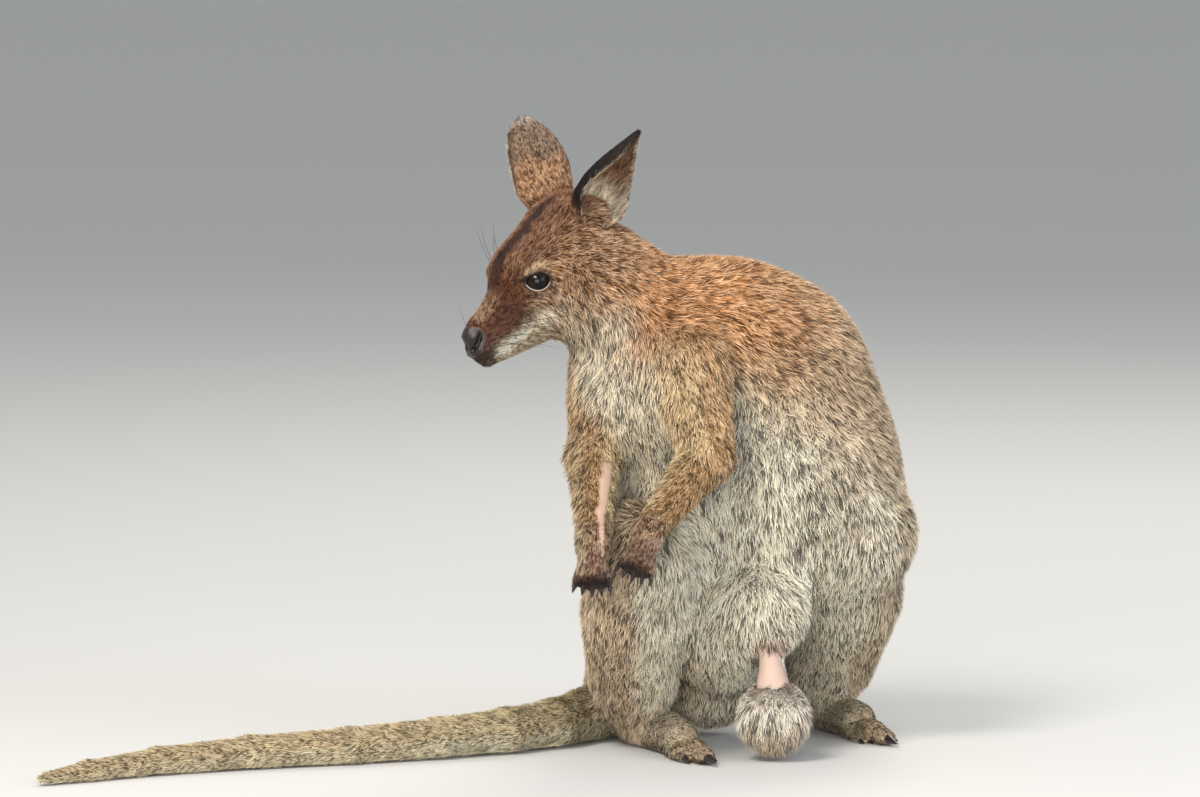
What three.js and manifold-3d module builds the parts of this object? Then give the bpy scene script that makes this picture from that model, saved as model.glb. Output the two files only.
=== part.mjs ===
// Red-necked wallaby, adult male, life size. It squats upright on both hind feet. Its chest and head are turned back
// over its own right side, the hands hang in front of the right knee, and the tail is laid round to that side.
//
// Units are millimetres. +Z is up, +X runs to the animal's left knee and +Y to its rump, and the floor is at Z = 0.
// The flesh is one distance field, a smooth union of tapered limbs and rounded masses, out to the tips of the coat.
// Its torso and thighs are meshed in one and parted by zones and thin plates. The head, tail, forearms and feet are
// meshed from the same field at sizes of their own, and meet the torso at planes.

import * as THREE from "three";
import { mergeVertices } from "three/addons/utils/BufferGeometryUtils.js";
import Module from "manifold-3d";

const wasm = await Module();
wasm.setup();

// ---------------------------------------------------------------- driving dimensions
const GAP = 0.4; // between neighbouring solids
const TORSO_CELL = 16; // mesh size on the torso, thighs and shins
const ZONE_CELL = 46; // mesh size of the hidden faces between a limb and the torso
const HEAD_CELL = 6;
const FOOT_CELL = 10;
const SCROTUM_CELL = 9;
const TORSO_TOLERANCE = 29; // how far merged mesh points may stray, summed over the faces that they stood for
const HEAD_TOLERANCE = 10;
const FOOT_TOLERANCE = 38;
const SOLE = 3; // feet and tail are pressed this far into their round section by the floor
const SOLE_PLANE = 0.6; // height of the one plane that all of them are cut to

const EYE_RADIUS = 12.5;
const EYE_SPREAD = 25; // each eye's centre from the head's middle plane
const HEAD_PITCH = 33; // degrees, nose down
const HEAD_YAW = 36; // degrees, from straight to the animal's right towards its front
const HEAD_ROLL = 3; // degrees, crown towards the animal's left

const EAR_WIDTH = 55;
const EAR_ROOT = 0.68; // its width at the root, as a share of the widest
const EAR_THICKNESS = 3;
const EAR_BOW = 6; // how far the middle of an ear bends back
// Where each ear is rooted on the head (forward, left, up), where its tip is from there, and which way it opens at
// its root and at its tip.
const EARS = {
  right: { root: [-85, -36, 19], tip: [-26, 26, 73], opening: [-0.35, 0.93, 0.1], tipOpening: [-0.45, 0.88, 0.1] },
  left: { root: [-76, 28, 17], tip: [42, -38, 78], opening: [0.42, -0.9, 0.05], tipOpening: [0.95, -0.28, 0.15] },
};

const PALM_LENGTH = 22;
const PALM_RADII = [15, 14]; // at the wrist and at the knuckles
const FINGER_LENGTH = 18;
const FINGER_RADIUS = 4.6;
const FINGER_TAPER = 0.8; // how much thinner a fingertip is
const FINGER_STEP = 4.7; // between the roots of neighbouring fingers
const FINGER_SPREAD = 9; // degrees from one finger to the next
const FINGER_CLAW = 11;
const TOE_CLAW = 22;
const ANKLE_CUT = 54; // height of the plane between shin and foot

// A point on the middle line of something round that is pressed on the floor.
const onFloor = (x, y, radius) => [x, y, radius - SOLE];

// Joints of the right (r) and left (l) side, in the posed animal.
const JOINTS = {
  pelvis: [-18, 98, 165],
  lowerBack: [14, 86, 222],
  belly: [24, 36, 228],
  loin: [36, 58, 282],
  ribs: [20, 42, 342],
  withers: [-24, 26, 376],
  chest: [-90, -22, 330],
  neckBase: [-84, 4, 384],
  neckTop: [-132, -14, 420],
  eyes: [-202, -40, 430],
  rHip: [-70, 60, 165],
  rKnee: [-98, -98, 187],
  rAnkle: [-100, 12, 50],
  rHeel: onFloor(-94, 36, 24),
  rBall: onFloor(-58, -58, 19),
  rHock: [-97, 22, 30],
  lHip: [24, 118, 165],
  lKnee: [107, 10, 192],
  lAnkle: [76, 140, 48],
  lHeel: onFloor(62, 166, 24),
  lBall: onFloor(103, 74, 19),
  lHock: [68, 150, 30],
  rShoulder: [-116, -5, 340],
  rElbow: [-135, -66, 274],
  rWrist: [-136, -170, 208],
  rHand: [-138, -182, 152],
  lShoulder: [-52, -50, 352],
  lElbow: [-36, -97, 276],
  lWrist: [-86, -172, 218],
  lHand: [-106, -186, 164],
};

// The tail's middle line from its root to its tip, each point with its radius.
const TAIL = [
  { at: [-34, 140, 126], radius: 64 },
  { at: [-70, 152, 84], radius: 50 },
  { at: [-102, 130, 50], radius: 38 },
  { at: onFloor(-122, 92, 30), radius: 30 },
  { at: onFloor(-145, 48, 26), radius: 26 },
  { at: onFloor(-172, 8, 24), radius: 24 },
  { at: onFloor(-214, -32, 22.5), radius: 22.5 },
  { at: onFloor(-275, -70, 20.5), radius: 20.5 },
  { at: onFloor(-355, -108, 18.5), radius: 18.5 },
  { at: onFloor(-440, -140, 17), radius: 17 },
  { at: onFloor(-520, -180, 14.5), radius: 14.5 },
  { at: onFloor(-580, -224, 11.5), radius: 11.5 },
  { at: [-616, -252, 6.5], radius: 7.5 },
];
const TAIL_START = 3; // the point of TAIL where the free tail begins
const TAIL_PARTS = [
  { name: "tail_base", from: TAIL_START, to: 6 },
  { name: "tail_middle", from: 6, to: 9 },
  { name: "tail_end", from: 9, to: TAIL.length - 1 },
];

const COLOURS = {
  head: 0x7d5a41,
  neck: 0x9a7350,
  back: 0x8c7866,
  belly: 0xb9ab93,
  limb: 0x8f765b,
  tail: 0xa3917f,
  paw: 0x3d322b,
  claw: 0x1d1a18,
  eye: 0x120d0a,
  ear: 0x5f4a3b,
  skin: 0xd8b8a6,
};

// ---------------------------------------------------------------- vectors
const add = (a, b) => [a[0] + b[0], a[1] + b[1], a[2] + b[2]];
const sub = (a, b) => [a[0] - b[0], a[1] - b[1], a[2] - b[2]];
const scale = (a, s) => [a[0] * s, a[1] * s, a[2] * s];
const dot = (a, b) => a[0] * b[0] + a[1] * b[1] + a[2] * b[2];
const cross = (a, b) => [a[1] * b[2] - a[2] * b[1], a[2] * b[0] - a[0] * b[2], a[0] * b[1] - a[1] * b[0]];
const length = (a) => Math.hypot(a[0], a[1], a[2]);
const unit = (a) => scale(a, 1 / length(a));
const lerp = (a, b, t) => add(scale(a, 1 - t), scale(b, t));
const mix = (a, b, t) => a + (b - a) * t;
const clamp = (v, lo, hi) => Math.min(hi, Math.max(lo, v));
const radians = THREE.MathUtils.degToRad;

// ---------------------------------------------------------------- distance fields
// A tapered limb from a to b. Across `flat`, if given, its half thickness is `share` of the radius.
function limb(a, b, ra, rb, blend, flat = null, share = 1) {
  const ab = sub(b, a);
  const squared = dot(ab, ab);
  const n = flat ? unit(flat) : null;
  const distance = (p) => {
    const ap = sub(p, a);
    const t = clamp(dot(ap, ab) / squared, 0, 1);
    let q = sub(ap, scale(ab, t));
    if (n) q = add(q, scale(n, dot(q, n) * (1 / share - 1)));
    return (length(q) - mix(ra, rb, t)) * (n ? Math.min(1, share) : 1);
  };
  return { distance, blend };
}

// A rounded mass with its centre, its three half sizes and the directions they run in.
function mass(centre, radii, blend, axes = [[1, 0, 0], [0, 1, 0], [0, 0, 1]]) {
  const distance = (p) => {
    const d = sub(p, centre);
    const q = axes.map((axis, i) => dot(d, axis) / radii[i]);
    const k0 = length(q);
    const k1 = length([q[0] / radii[0], q[1] / radii[1], q[2] / radii[2]]);
    return k1 > 0 ? (k0 * (k0 - 1)) / k1 : -Math.min(...radii);
  };
  return { distance, blend };
}

const smoothMin = (a, b, k) => {
  const h = Math.max(k - Math.abs(a - b), 0) / k;
  return Math.min(a, b) - (h * h * k) / 4;
};

const union = (parts) => (p) => {
  let d = 1e9;
  for (const part of parts) d = smoothMin(d, part.distance(p), part.blend);
  return d;
};

// The field with everything that would reach below the floor made flat there.
const standing = (field) => (p) => Math.max(field(p), -p[2]);

// ---------------------------------------------------------------- head frame
// Forward, left and up of the head, from its pitch, yaw and roll.
function headAxes() {
  const [pitch, yaw, roll] = [HEAD_PITCH, HEAD_YAW, HEAD_ROLL].map(radians);
  const forward = [-Math.cos(pitch) * Math.cos(yaw), -Math.cos(pitch) * Math.sin(yaw), -Math.sin(pitch)];
  const level = [Math.sin(yaw), -Math.cos(yaw), 0];
  const upright = cross(forward, level);
  const left = add(scale(level, Math.cos(roll)), scale(upright, -Math.sin(roll)));
  return { forward, left, up: cross(forward, left) };
}
const HEAD = headAxes();
const HEAD_AXES = [HEAD.forward, HEAD.left, HEAD.up];
// A point of the head from its distance forward, left and up of the middle of the eyes.
const onHead = (f, l, u) =>
  add(JOINTS.eyes, add(scale(HEAD.forward, f), add(scale(HEAD.left, l), scale(HEAD.up, u))));

// ---------------------------------------------------------------- the flesh
const SIDES = [
  { name: "right", letter: "r", sign: -1 },
  { name: "left", letter: "l", sign: 1 },
];
const joint = (letter, name) => JOINTS[letter + name];

function headParts() {
  const parts = [
    limb(JOINTS.neckBase, JOINTS.neckTop, 64, 54, 30),
    limb(JOINTS.neckTop, onHead(-62, 0, -8), 54, 42, 25),
    mass(onHead(-58, 0, 6), [50, 36, 36], 14, HEAD_AXES),
    mass(onHead(-14, 0, 6), [42, 31, 29], 14, HEAD_AXES),
    limb(onHead(10, 0, -7), onHead(56, 0, -15), 25, 14, 10, HEAD.left, 0.84),
    limb(onHead(54, 0, -13), onHead(69, 0, -14), 12.5, 12.2, 8, HEAD.left, 0.92),
    limb(onHead(-30, 0, -46), onHead(66.5, 0, -37.5), 31, 11.5, 12, HEAD.left, 0.82),
  ];
  for (const { sign } of SIDES) {
    parts.push(mass(onHead(-24, sign * 19, -28), [40, 18, 33], 14, HEAD_AXES));
    parts.push(mass(onHead(-4, sign * 22, -9), [30, 10, 12], 10, HEAD_AXES));
    parts.push(mass(onHead(-3, sign * 22, 12), [20, 8, 7], 8, HEAD_AXES));
    parts.push(limb(onHead(36, sign * 8, -25), onHead(70.5, sign * 5, -27), 13, 10, 8));
    parts.push(limb(onHead(-72, sign * 17, 8), onHead(-81, sign * 25, 15), 27, 16, 14));
  }
  return parts;
}

function trunkParts() {
  const J = JOINTS;
  return [
    mass(J.pelvis, [90, 88, 92], 30),
    mass(J.lowerBack, [88, 84, 88], 40),
    mass(J.belly, [112, 104, 112], 40),
    mass([72, 46, 236], [68, 78, 68], 30),
    mass(J.loin, [96, 86, 98], 30),
    mass(J.ribs, [90, 74, 86], 30),
    limb([-88, -14, 316], [-58, 10, 226], 49, 61, 30),
    mass(J.withers, [78, 58, 70], 30),
    mass(J.chest, [62, 54, 66], 30),
    limb([-20, 10, 112], [10, -40, 132], 62, 50, 25),
    mass([-30, 88, 76], [58, 68, 69], 25),
  ];
}

const upperArm = (letter) => limb(joint(letter, "Shoulder"), joint(letter, "Elbow"), 42, 27, 22);

const forearm = (letter) => limb(joint(letter, "Elbow"), joint(letter, "Wrist"), 26, 15, 8);

// The thigh with the ham below it.
function thighParts(letter) {
  const [hip, knee, ankle] = ["Hip", "Knee", "Ankle"].map((name) => joint(letter, name));
  const femur = unit(sub(knee, hip));
  const outward = unit(cross(femur, sub(ankle, knee)));
  const ham = lerp(lerp(hip, knee, 0.55), ankle, 0.3);
  return [limb(hip, knee, 80, 46, 36), mass(ham, [80, 66, 46], 20, [femur, cross(outward, femur), outward])];
}

function shinParts(letter) {
  const [knee, ankle] = ["Knee", "Ankle"].map((name) => joint(letter, name));
  return [limb(knee, ankle, 47, 34, 14), limb(lerp(knee, ankle, 0.4), lerp(knee, ankle, 0.85), 50, 43, 14)];
}

function footParts(letter) {
  const [ankle, hock, heel, ball] = ["Ankle", "Hock", "Heel", "Ball"].map((name) => joint(letter, name));
  return [limb(ankle, hock, 30, 25, 10), limb(heel, ball, 24, 18, 8)];
}

const tailParts = () =>
  TAIL.slice(1).map(({ at, radius }, i) => limb(TAIL[i].at, at, TAIL[i].radius, radius, i < TAIL_START ? 20 : 6));

const scrotumParts = [limb([20, -64, 112], [23, -84, 78], 11, 17, 10), mass([25, -88, 42], [35, 30, 36], 12)];

const tailField = standing(union(tailParts()));
const torsoField = standing(
  union([
    ...trunkParts(),
    ...tailParts().slice(0, TAIL_START + 1),
    ...SIDES.flatMap(({ letter }) => [...thighParts(letter), ...shinParts(letter)]),
    ...headParts(),
    ...SIDES.map(({ letter }) => upperArm(letter)),
  ]),
);

// ---------------------------------------------------------------- meshing a field
// A cell's corners, its edges and its faces, each face a ring of corners.
const CORNERS = [0, 1, 2, 3, 4, 5, 6, 7].map((i) => [i & 1, (i >> 1) & 1, (i >> 2) & 1]);
const EDGES = [
  [0, 1], [2, 3], [4, 5], [6, 7],
  [0, 2], [1, 3], [4, 6], [5, 7],
  [0, 4], [1, 5], [2, 6], [3, 7],
];
const FACES = [
  [0, 1, 3, 2], [4, 5, 7, 6],
  [0, 1, 5, 4], [2, 3, 7, 6],
  [0, 2, 6, 4], [1, 3, 7, 5],
];
const edgeBetween = (a, b) => EDGES.findIndex(([p, q]) => (p === a && q === b) || (p === b && q === a));

// Groups a cell's crossed edges into the separate sheets of surface that pass through it.
function sheetsOf(corner) {
  const sheet = EDGES.map((_, i) => i);
  const join = (a, b) => {
    const [from, to] = [sheet[a], sheet[b]];
    for (let i = 0; i < 12; i++) if (sheet[i] === from) sheet[i] = to;
  };
  for (const face of FACES)
    for (let i = 0; i < 4; i++) {
      if (corner[face[i]] >= 0) continue;
      const exit = (turn) => {
        let k = i;
        while (corner[face[(k + turn + 4) % 4]] < 0) {
          k += turn;
          if (Math.abs(k - i) > 3) return -1;
        }
        return edgeBetween(face[(k + 4) % 4], face[(k + turn + 8) % 4]);
      };
      const [ahead, behind] = [exit(1), exit(-1)];
      if (ahead >= 0 && behind >= 0) join(ahead, behind);
    }
  return sheet;
}

// The closed surface of field = 0 inside the box from low to high, with a point for each sheet in each cell.
function meshField(field, low, high, cell, tolerance = 0) {
  const n = [0, 1, 2].map((i) => Math.ceil((high[i] - low[i]) / cell) + 1);
  const index = (x, y, z) => x + n[0] * (y + n[1] * z);
  const values = new Float64Array(n[0] * n[1] * n[2]);
  for (let z = 0; z < n[2]; z++)
    for (let y = 0; y < n[1]; y++)
      for (let x = 0; x < n[0]; x++) {
        const rim = x === 0 || y === 0 || z === 0 || x === n[0] - 1 || y === n[1] - 1 || z === n[2] - 1;
        const value = field([low[0] + x * cell, low[1] + y * cell, low[2] + z * cell]);
        values[index(x, y, z)] = rim ? Math.max(value, cell * 0.5) : value;
      }
  const pointOf = new Map();
  const points = [];
  for (let z = 0; z < n[2] - 1; z++)
    for (let y = 0; y < n[1] - 1; y++)
      for (let x = 0; x < n[0] - 1; x++) {
        const corner = CORNERS.map(([i, j, k]) => values[index(x + i, y + j, z + k)]);
        const inside = corner.filter((v) => v < 0).length;
        if (inside === 0 || inside === 8) continue;
        const sheet = sheetsOf(corner);
        for (const id of new Set(sheet)) {
          const crossed = EDGES.map((_, e) => e).filter((e) => {
            const [a, b] = EDGES[e];
            return sheet[e] === id && corner[a] < 0 !== corner[b] < 0;
          });
          if (crossed.length === 0) continue;
          let sum = [0, 0, 0];
          for (const e of crossed) {
            const [a, b] = EDGES[e];
            sum = add(sum, lerp(CORNERS[a], CORNERS[b], corner[a] / (corner[a] - corner[b])));
            pointOf.set(index(x, y, z) * 12 + e, points.length);
          }
          const local = add([x, y, z], scale(sum, 1 / crossed.length));
          points.push(add(low, scale(local, cell)));
        }
      }
  const triangles = [];
  const quad = (a, b, c, d) => {
    const [pa, pb, pc, pd] = [a, b, c, d].map((i) => points[i]);
    if (length(sub(pa, pc)) <= length(sub(pb, pd))) triangles.push(a, b, c, a, c, d);
    else triangles.push(a, b, d, b, c, d);
  };
  const step = [1, n[0], n[0] * n[1]];
  for (let z = 0; z < n[2] - 1; z++)
    for (let y = 0; y < n[1] - 1; y++)
      for (let x = 0; x < n[0] - 1; x++) {
        const here = index(x, y, z);
        for (let axis = 0; axis < 3; axis++) {
          const a = values[here];
          const b = values[here + step[axis]];
          if (a < 0 === b < 0) continue;
          const [u, v] = [(axis + 1) % 3, (axis + 2) % 3];
          const around = [[0, 0], [1, 0], [1, 1], [0, 1]];
          const ring = around.map(([i, j]) => {
            const start = (i << u) | (j << v);
            return pointOf.get((here - i * step[u] - j * step[v]) * 12 + edgeBetween(start, start | (1 << axis)));
          });
          if (a < 0) quad(...ring);
          else quad(...ring.reverse());
        }
      }
  settle(points, field, cell);
  if (tolerance > 0) return thinOut(points, triangles, tolerance);
  return solidFrom(points.flat(), triangles);
}

// Merges neighbouring mesh points while the surface stays near its old planes, the flattest places first.
function thinOut(points, triangles, tolerance) {
  const faces = [];
  const around = points.map(() => new Set());
  const planes = points.map(() => new Float64Array(10));
  const normalOf = (a, b, c) => cross(sub(b, a), sub(c, a));
  for (let i = 0; i < triangles.length; i += 3) {
    const face = triangles.slice(i, i + 3);
    const normal = normalOf(...face.map((v) => points[v]));
    if (length(normal) > 0) {
      const n = unit(normal);
      const [x, y, z, d] = [...n, -dot(n, points[face[0]])];
      const terms = [x * x, x * y, x * z, x * d, y * y, y * z, y * d, z * z, z * d, d * d];
      for (const v of face) terms.forEach((term, k) => (planes[v][k] += term));
    }
    for (const v of face) around[v].add(faces.length);
    faces.push(face);
  }
  const strain = (a, b, [x, y, z]) => {
    const q = planes[a].map((term, k) => term + planes[b][k]);
    const squares = q[0] * x * x + q[4] * y * y + q[7] * z * z + q[9];
    return squares + 2 * (q[1] * x * y + q[2] * x * z + q[3] * x + q[5] * y * z + q[6] * y + q[8] * z);
  };
  const neighbours = (v) => new Set([...around[v]].flatMap((f) => faces[f]).filter((w) => w !== v));
  const foldsOver = (v, other, to) =>
    [...around[v]].some((f) => {
      if (faces[f].includes(other)) return false;
      const before = normalOf(...faces[f].map((w) => points[w]));
      const after = normalOf(...faces[f].map((w) => (w === v ? to : points[w])));
      return dot(before, after) < 0.3 * length(before) * length(after);
    });
  for (let merged = 1; merged > 0; ) {
    merged = 0;
    const pairs = [];
    for (const face of faces) {
      if (!face) continue;
      for (let k = 0; k < 3; k++) {
        const [a, b] = [face[k], face[(k + 1) % 3]];
        if (a > b) continue;
        const options = [points[a], points[b], lerp(points[a], points[b], 0.5)];
        const costs = options.map((p) => strain(a, b, p) + 2e-4 * length(sub(points[a], points[b])) ** 2);
        const best = costs.indexOf(Math.min(...costs));
        if (costs[best] < tolerance ** 2) pairs.push({ a, b, to: options[best], cost: costs[best] });
      }
    }
    const moved = new Set();
    for (const { a, b, to } of pairs.sort((p, q) => p.cost - q.cost)) {
      if (moved.has(a) || moved.has(b)) continue;
      const [ringA, ringB] = [neighbours(a), neighbours(b)];
      if ([...ringA].filter((v) => ringB.has(v)).length !== 2) continue;
      if (foldsOver(a, b, to) || foldsOver(b, a, to)) continue;
      for (const f of around[b]) {
        if (faces[f].includes(a)) {
          for (const v of faces[f]) if (v !== b) around[v].delete(f);
          faces[f] = null;
        } else {
          faces[f] = faces[f].map((v) => (v === b ? a : v));
          around[a].add(f);
        }
      }
      around[b].clear();
      points[a] = to;
      planes[a] = planes[a].map((term, k) => term + planes[b][k]);
      for (const v of [a, b, ...ringA, ...ringB]) moved.add(v);
      merged++;
    }
  }
  return solidFrom(points.flat(), faces.filter((face) => face).flat());
}

// Moves mesh points onto field = 0, along the field's slope.
function settle(points, field, cell) {
  const h = 0.5;
  for (const p of points)
    for (let pass = 0; pass < 4; pass++) {
      const d = field(p);
      const slope = [0, 1, 2].map((i) => {
        const q = [...p];
        q[i] += h;
        const ahead = field(q);
        q[i] -= 2 * h;
        return (ahead - field(q)) / (2 * h);
      });
      const size = dot(slope, slope);
      if (size < 1e-6) break;
      const move = clamp(d / Math.max(size, 0.25), -0.3 * cell, 0.3 * cell);
      for (let i = 0; i < 3; i++) p[i] -= slope[i] * move;
    }
}

// How far from a centre inside the field its surface lies along a ray.
function castOut(field, centre, ray, reach) {
  const steps = 24;
  let near = 0;
  let far = reach;
  for (let i = 1; i <= steps; i++) {
    far = (reach * i) / steps;
    if (field(add(centre, scale(ray, far))) > 0) break;
    near = far;
  }
  for (let i = 0; i < 16; i++) {
    const middle = (near + far) / 2;
    if (field(add(centre, scale(ray, middle))) > 0) far = middle;
    else near = middle;
  }
  return near;
}

// A closed tube along a path, whose rings are cast out to field = 0 and whose two ends are flat.
function sweepField(field, path, sides, reach, reference = [0, 0, 1]) {
  const points = [];
  const triangles = [];
  path.forEach((centre, i) => {
    const along = unit(sub(path[Math.min(i + 1, path.length - 1)], path[Math.max(i - 1, 0)]));
    const across = unit(cross(reference, along));
    const over = cross(along, across);
    for (let k = 0; k < sides; k++) {
      const angle = (2 * Math.PI * (k + 0.5)) / sides;
      const ray = add(scale(across, Math.cos(angle)), scale(over, Math.sin(angle)));
      points.push(add(centre, scale(ray, castOut(field, centre, ray, reach))));
    }
  });
  for (let i = 0; i + 1 < path.length; i++)
    for (let k = 0; k < sides; k++) {
      const next = (k + 1) % sides;
      const [a, b, c, d] = [i * sides + k, i * sides + next, (i + 1) * sides + next, (i + 1) * sides + k];
      triangles.push(a, b, c, a, c, d);
    }
  const start = points.push(path[0]) - 1;
  const end = points.push(path[path.length - 1]) - 1;
  const last = (path.length - 1) * sides;
  for (let k = 0; k < sides; k++) {
    const next = (k + 1) % sides;
    triangles.push(start, next, k, end, last + k, last + next);
  }
  return solidFrom(points.flat(), triangles);
}

// Stations along a limb's middle line, the last ones inside its rounded tip.
function stations(a, b, count, tipRadius = 0) {
  const path = Array.from({ length: count }, (_, i) => lerp(a, b, i / (count - 1)));
  if (tipRadius === 0) return path;
  const along = unit(sub(b, a));
  return [...path, ...[0.6, 0.92].map((share) => add(b, scale(along, share * tipRadius)))];
}

// ---------------------------------------------------------------- solids
function solidFrom(coordinates, triangles) {
  return new wasm.Manifold(
    new wasm.Mesh({
      numProp: 3,
      vertProperties: Float32Array.from(coordinates),
      triVerts: Uint32Array.from(triangles),
    }),
  );
}

function solidOf(geometry) {
  const bare = geometry.clone();
  bare.deleteAttribute("normal");
  bare.deleteAttribute("uv");
  const merged = mergeVertices(bare);
  return solidFrom(merged.attributes.position.array, merged.index.array);
}

// A block whose one face lies on the plane at `point`, spreading `width` either way of it and `depth` beyond it.
function blockBeyond(point, normal, width, depth) {
  const geometry = new THREE.BoxGeometry(2 * width, 2 * width, depth);
  geometry.translate(0, 0, depth / 2);
  geometry.applyQuaternion(
    new THREE.Quaternion().setFromUnitVectors(new THREE.Vector3(0, 0, 1), new THREE.Vector3(...unit(normal))),
  );
  geometry.translate(...point);
  return solidOf(geometry);
}

// Cuts a solid at a plane and keeps what lies behind it, half a gap short.
const trim = (solid, point, normal, width = 900, depth = 900) =>
  solid.subtract(blockBeyond(sub(point, scale(unit(normal), GAP / 2)), normal, width, depth));

// The piece of a solid that reaches nearest to a point.
function pieceAt(solid, point) {
  const reach = (piece) => {
    const { vertProperties } = piece.getMesh();
    let nearest = Infinity;
    for (let i = 0; i < vertProperties.length; i += 3)
      nearest = Math.min(nearest, length(sub([...vertProperties.slice(i, i + 3)], point)));
    return nearest;
  };
  const pieces = solid.decompose().filter((piece) => piece.volume() > 200);
  return pieces.sort((a, b) => reach(a) - reach(b))[0];
}
// Cuts the underside of a foot, a claw or the tail to the plane on which the animal rests.
const flattened = (solid) => trim(solid, [0, 0, SOLE_PLANE], [0, 0, -1]);
const biggest = (solid) => solid.decompose().sort((a, b) => b.volume() - a.volume())[0];

// The same solid with each of its corners moved outwards, so far that every face moves out by at least `by`.
function swell(solid, by) {
  const { vertProperties, triVerts } = solid.getMesh();
  const corner = (i) => [...vertProperties.slice(3 * i, 3 * i + 3)];
  const faces = Array.from({ length: vertProperties.length / 3 }, () => []);
  for (let i = 0; i < triVerts.length; i += 3) {
    const [a, b, c] = triVerts.slice(i, i + 3);
    const normal = cross(sub(corner(b), corner(a)), sub(corner(c), corner(a)));
    if (length(normal) > 1e-6) for (const v of [a, b, c]) faces[v].push(unit(normal));
  }
  const moved = faces.flatMap((normals, i) => {
    const outward = unit(normals.reduce(add));
    const steepest = Math.min(...normals.map((normal) => dot(normal, outward)));
    return add(corner(i), scale(outward, by / Math.max(steepest, 0.35)));
  });
  return solidFrom(moved, triVerts);
}

// Every finished solid by its name, with its colour and roughness.
const pieces = new Map();
const keep = (name, solid, colour, roughness = 0.9) => pieces.set(name, { solid, colour, roughness });

// Cuts clearance into one kept solid for its neighbours, and keeps what stays in one piece.
function makeRoom(name, neighbours) {
  const piece = pieces.get(name);
  for (const neighbour of neighbours)
    piece.solid = piece.solid.subtract(swell(pieces.get(neighbour).solid, GAP));
  piece.solid = biggest(piece.solid);
}

// One named mesh for each kept solid, on the floor and about the middle of the model's bounding box.
function assemble() {
  const bounds = [...pieces.values()].map(({ solid }) => solid.boundingBox());
  const low = [0, 1, 2].map((axis) => Math.min(...bounds.map(({ min }) => min[axis])));
  const high = [0, 1, 2].map((axis) => Math.max(...bounds.map(({ max }) => max[axis])));
  const group = new THREE.Group();
  for (const [name, { solid, colour, roughness }] of pieces) {
    const mesh = solid.translate([-(low[0] + high[0]) / 2, -(low[1] + high[1]) / 2, -low[2]]).getMesh();
    const geometry = new THREE.BufferGeometry();
    geometry.setAttribute("position", new THREE.BufferAttribute(mesh.vertProperties, 3));
    geometry.setIndex(new THREE.BufferAttribute(mesh.triVerts, 1));
    geometry.computeVertexNormals();
    const node = new THREE.Mesh(geometry, new THREE.MeshStandardMaterial({ color: colour, roughness }));
    node.name = name;
    group.add(node);
  }
  return group;
}

// ---------------------------------------------------------------- head
// A closed leaf-shaped shell, curled into a tube at its root and open towards the ear's tip.
function earSolid({ root, tip, opening, tipOpening }, thickness) {
  const base = onHead(...root);
  const axis = unit(tip);
  const sideAt = (s) => unit(cross(axis, lerp(opening, tipOpening, s)));
  const frontAt = (s) => cross(sideAt(s), axis);
  const [rows, columns] = [7, 6];
  const halfWidth = (s) => {
    const share = s < 0.4 ? mix(EAR_ROOT, 1, Math.sin((Math.PI * s) / 0.8)) : Math.sqrt(1 - 0.985 * ((s - 0.4) / 0.6) ** 2);
    return (EAR_WIDTH / 2) * share;
  };
  const halfAngle = (s) => radians(s < 0.5 ? mix(150, 62, Math.sin(Math.PI * s)) : mix(62, 36, 2 * s - 1));
  const roundness = (s) => halfWidth(s) / Math.sin(Math.min(halfAngle(s), Math.PI / 2));
  const surface = (s, t) => {
    const r = roundness(s);
    const angle = t * halfAngle(s);
    const behind = roundness(0) * (1 - s) + EAR_BOW * Math.sin(Math.PI * s);
    const ridge = add(add(base, scale(tip, s)), scale(frontAt(s), -behind));
    return add(ridge, add(scale(sideAt(s), r * Math.sin(angle)), scale(frontAt(s), r * (1 - Math.cos(angle)))));
  };
  const outward = (s, t) => {
    const angle = t * halfAngle(s);
    return add(scale(sideAt(s), Math.sin(angle)), scale(frontAt(s), -Math.cos(angle)));
  };
  const points = [];
  for (const layer of [1, -1])
    for (let i = 0; i <= rows; i++)
      for (let j = 0; j <= columns; j++) {
        const [s, t] = [i / rows, (2 * j) / columns - 1];
        points.push(add(surface(s, t), scale(outward(s, t), (layer * thickness) / 2)));
      }
  const at = (layer, i, j) => layer * (rows + 1) * (columns + 1) + i * (columns + 1) + j;
  const triangles = [];
  const quad = (a, b, c, d) => triangles.push(a, b, c, a, c, d);
  for (let i = 0; i < rows; i++)
    for (let j = 0; j < columns; j++) {
      quad(at(0, i, j), at(0, i + 1, j), at(0, i + 1, j + 1), at(0, i, j + 1));
      quad(at(1, i, j), at(1, i, j + 1), at(1, i + 1, j + 1), at(1, i + 1, j));
    }
  for (let i = 0; i < rows; i++) {
    quad(at(0, i, 0), at(1, i, 0), at(1, i + 1, 0), at(0, i + 1, 0));
    quad(at(0, i, columns), at(0, i + 1, columns), at(1, i + 1, columns), at(1, i, columns));
  }
  for (let j = 0; j < columns; j++) {
    quad(at(0, 0, j), at(0, 0, j + 1), at(1, 0, j + 1), at(1, 0, j));
    quad(at(0, rows, j), at(1, rows, j), at(1, rows, j + 1), at(0, rows, j + 1));
  }
  return solidFrom(points.flat(), triangles);
}

function ball(centre, radius) {
  const geometry = new THREE.SphereGeometry(radius, 10, 7);
  geometry.translate(...centre);
  return solidOf(geometry);
}

const NECK_CUT = { point: [-124, -12, 412], normal: [-0.8, -0.12, 0.59] };

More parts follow.
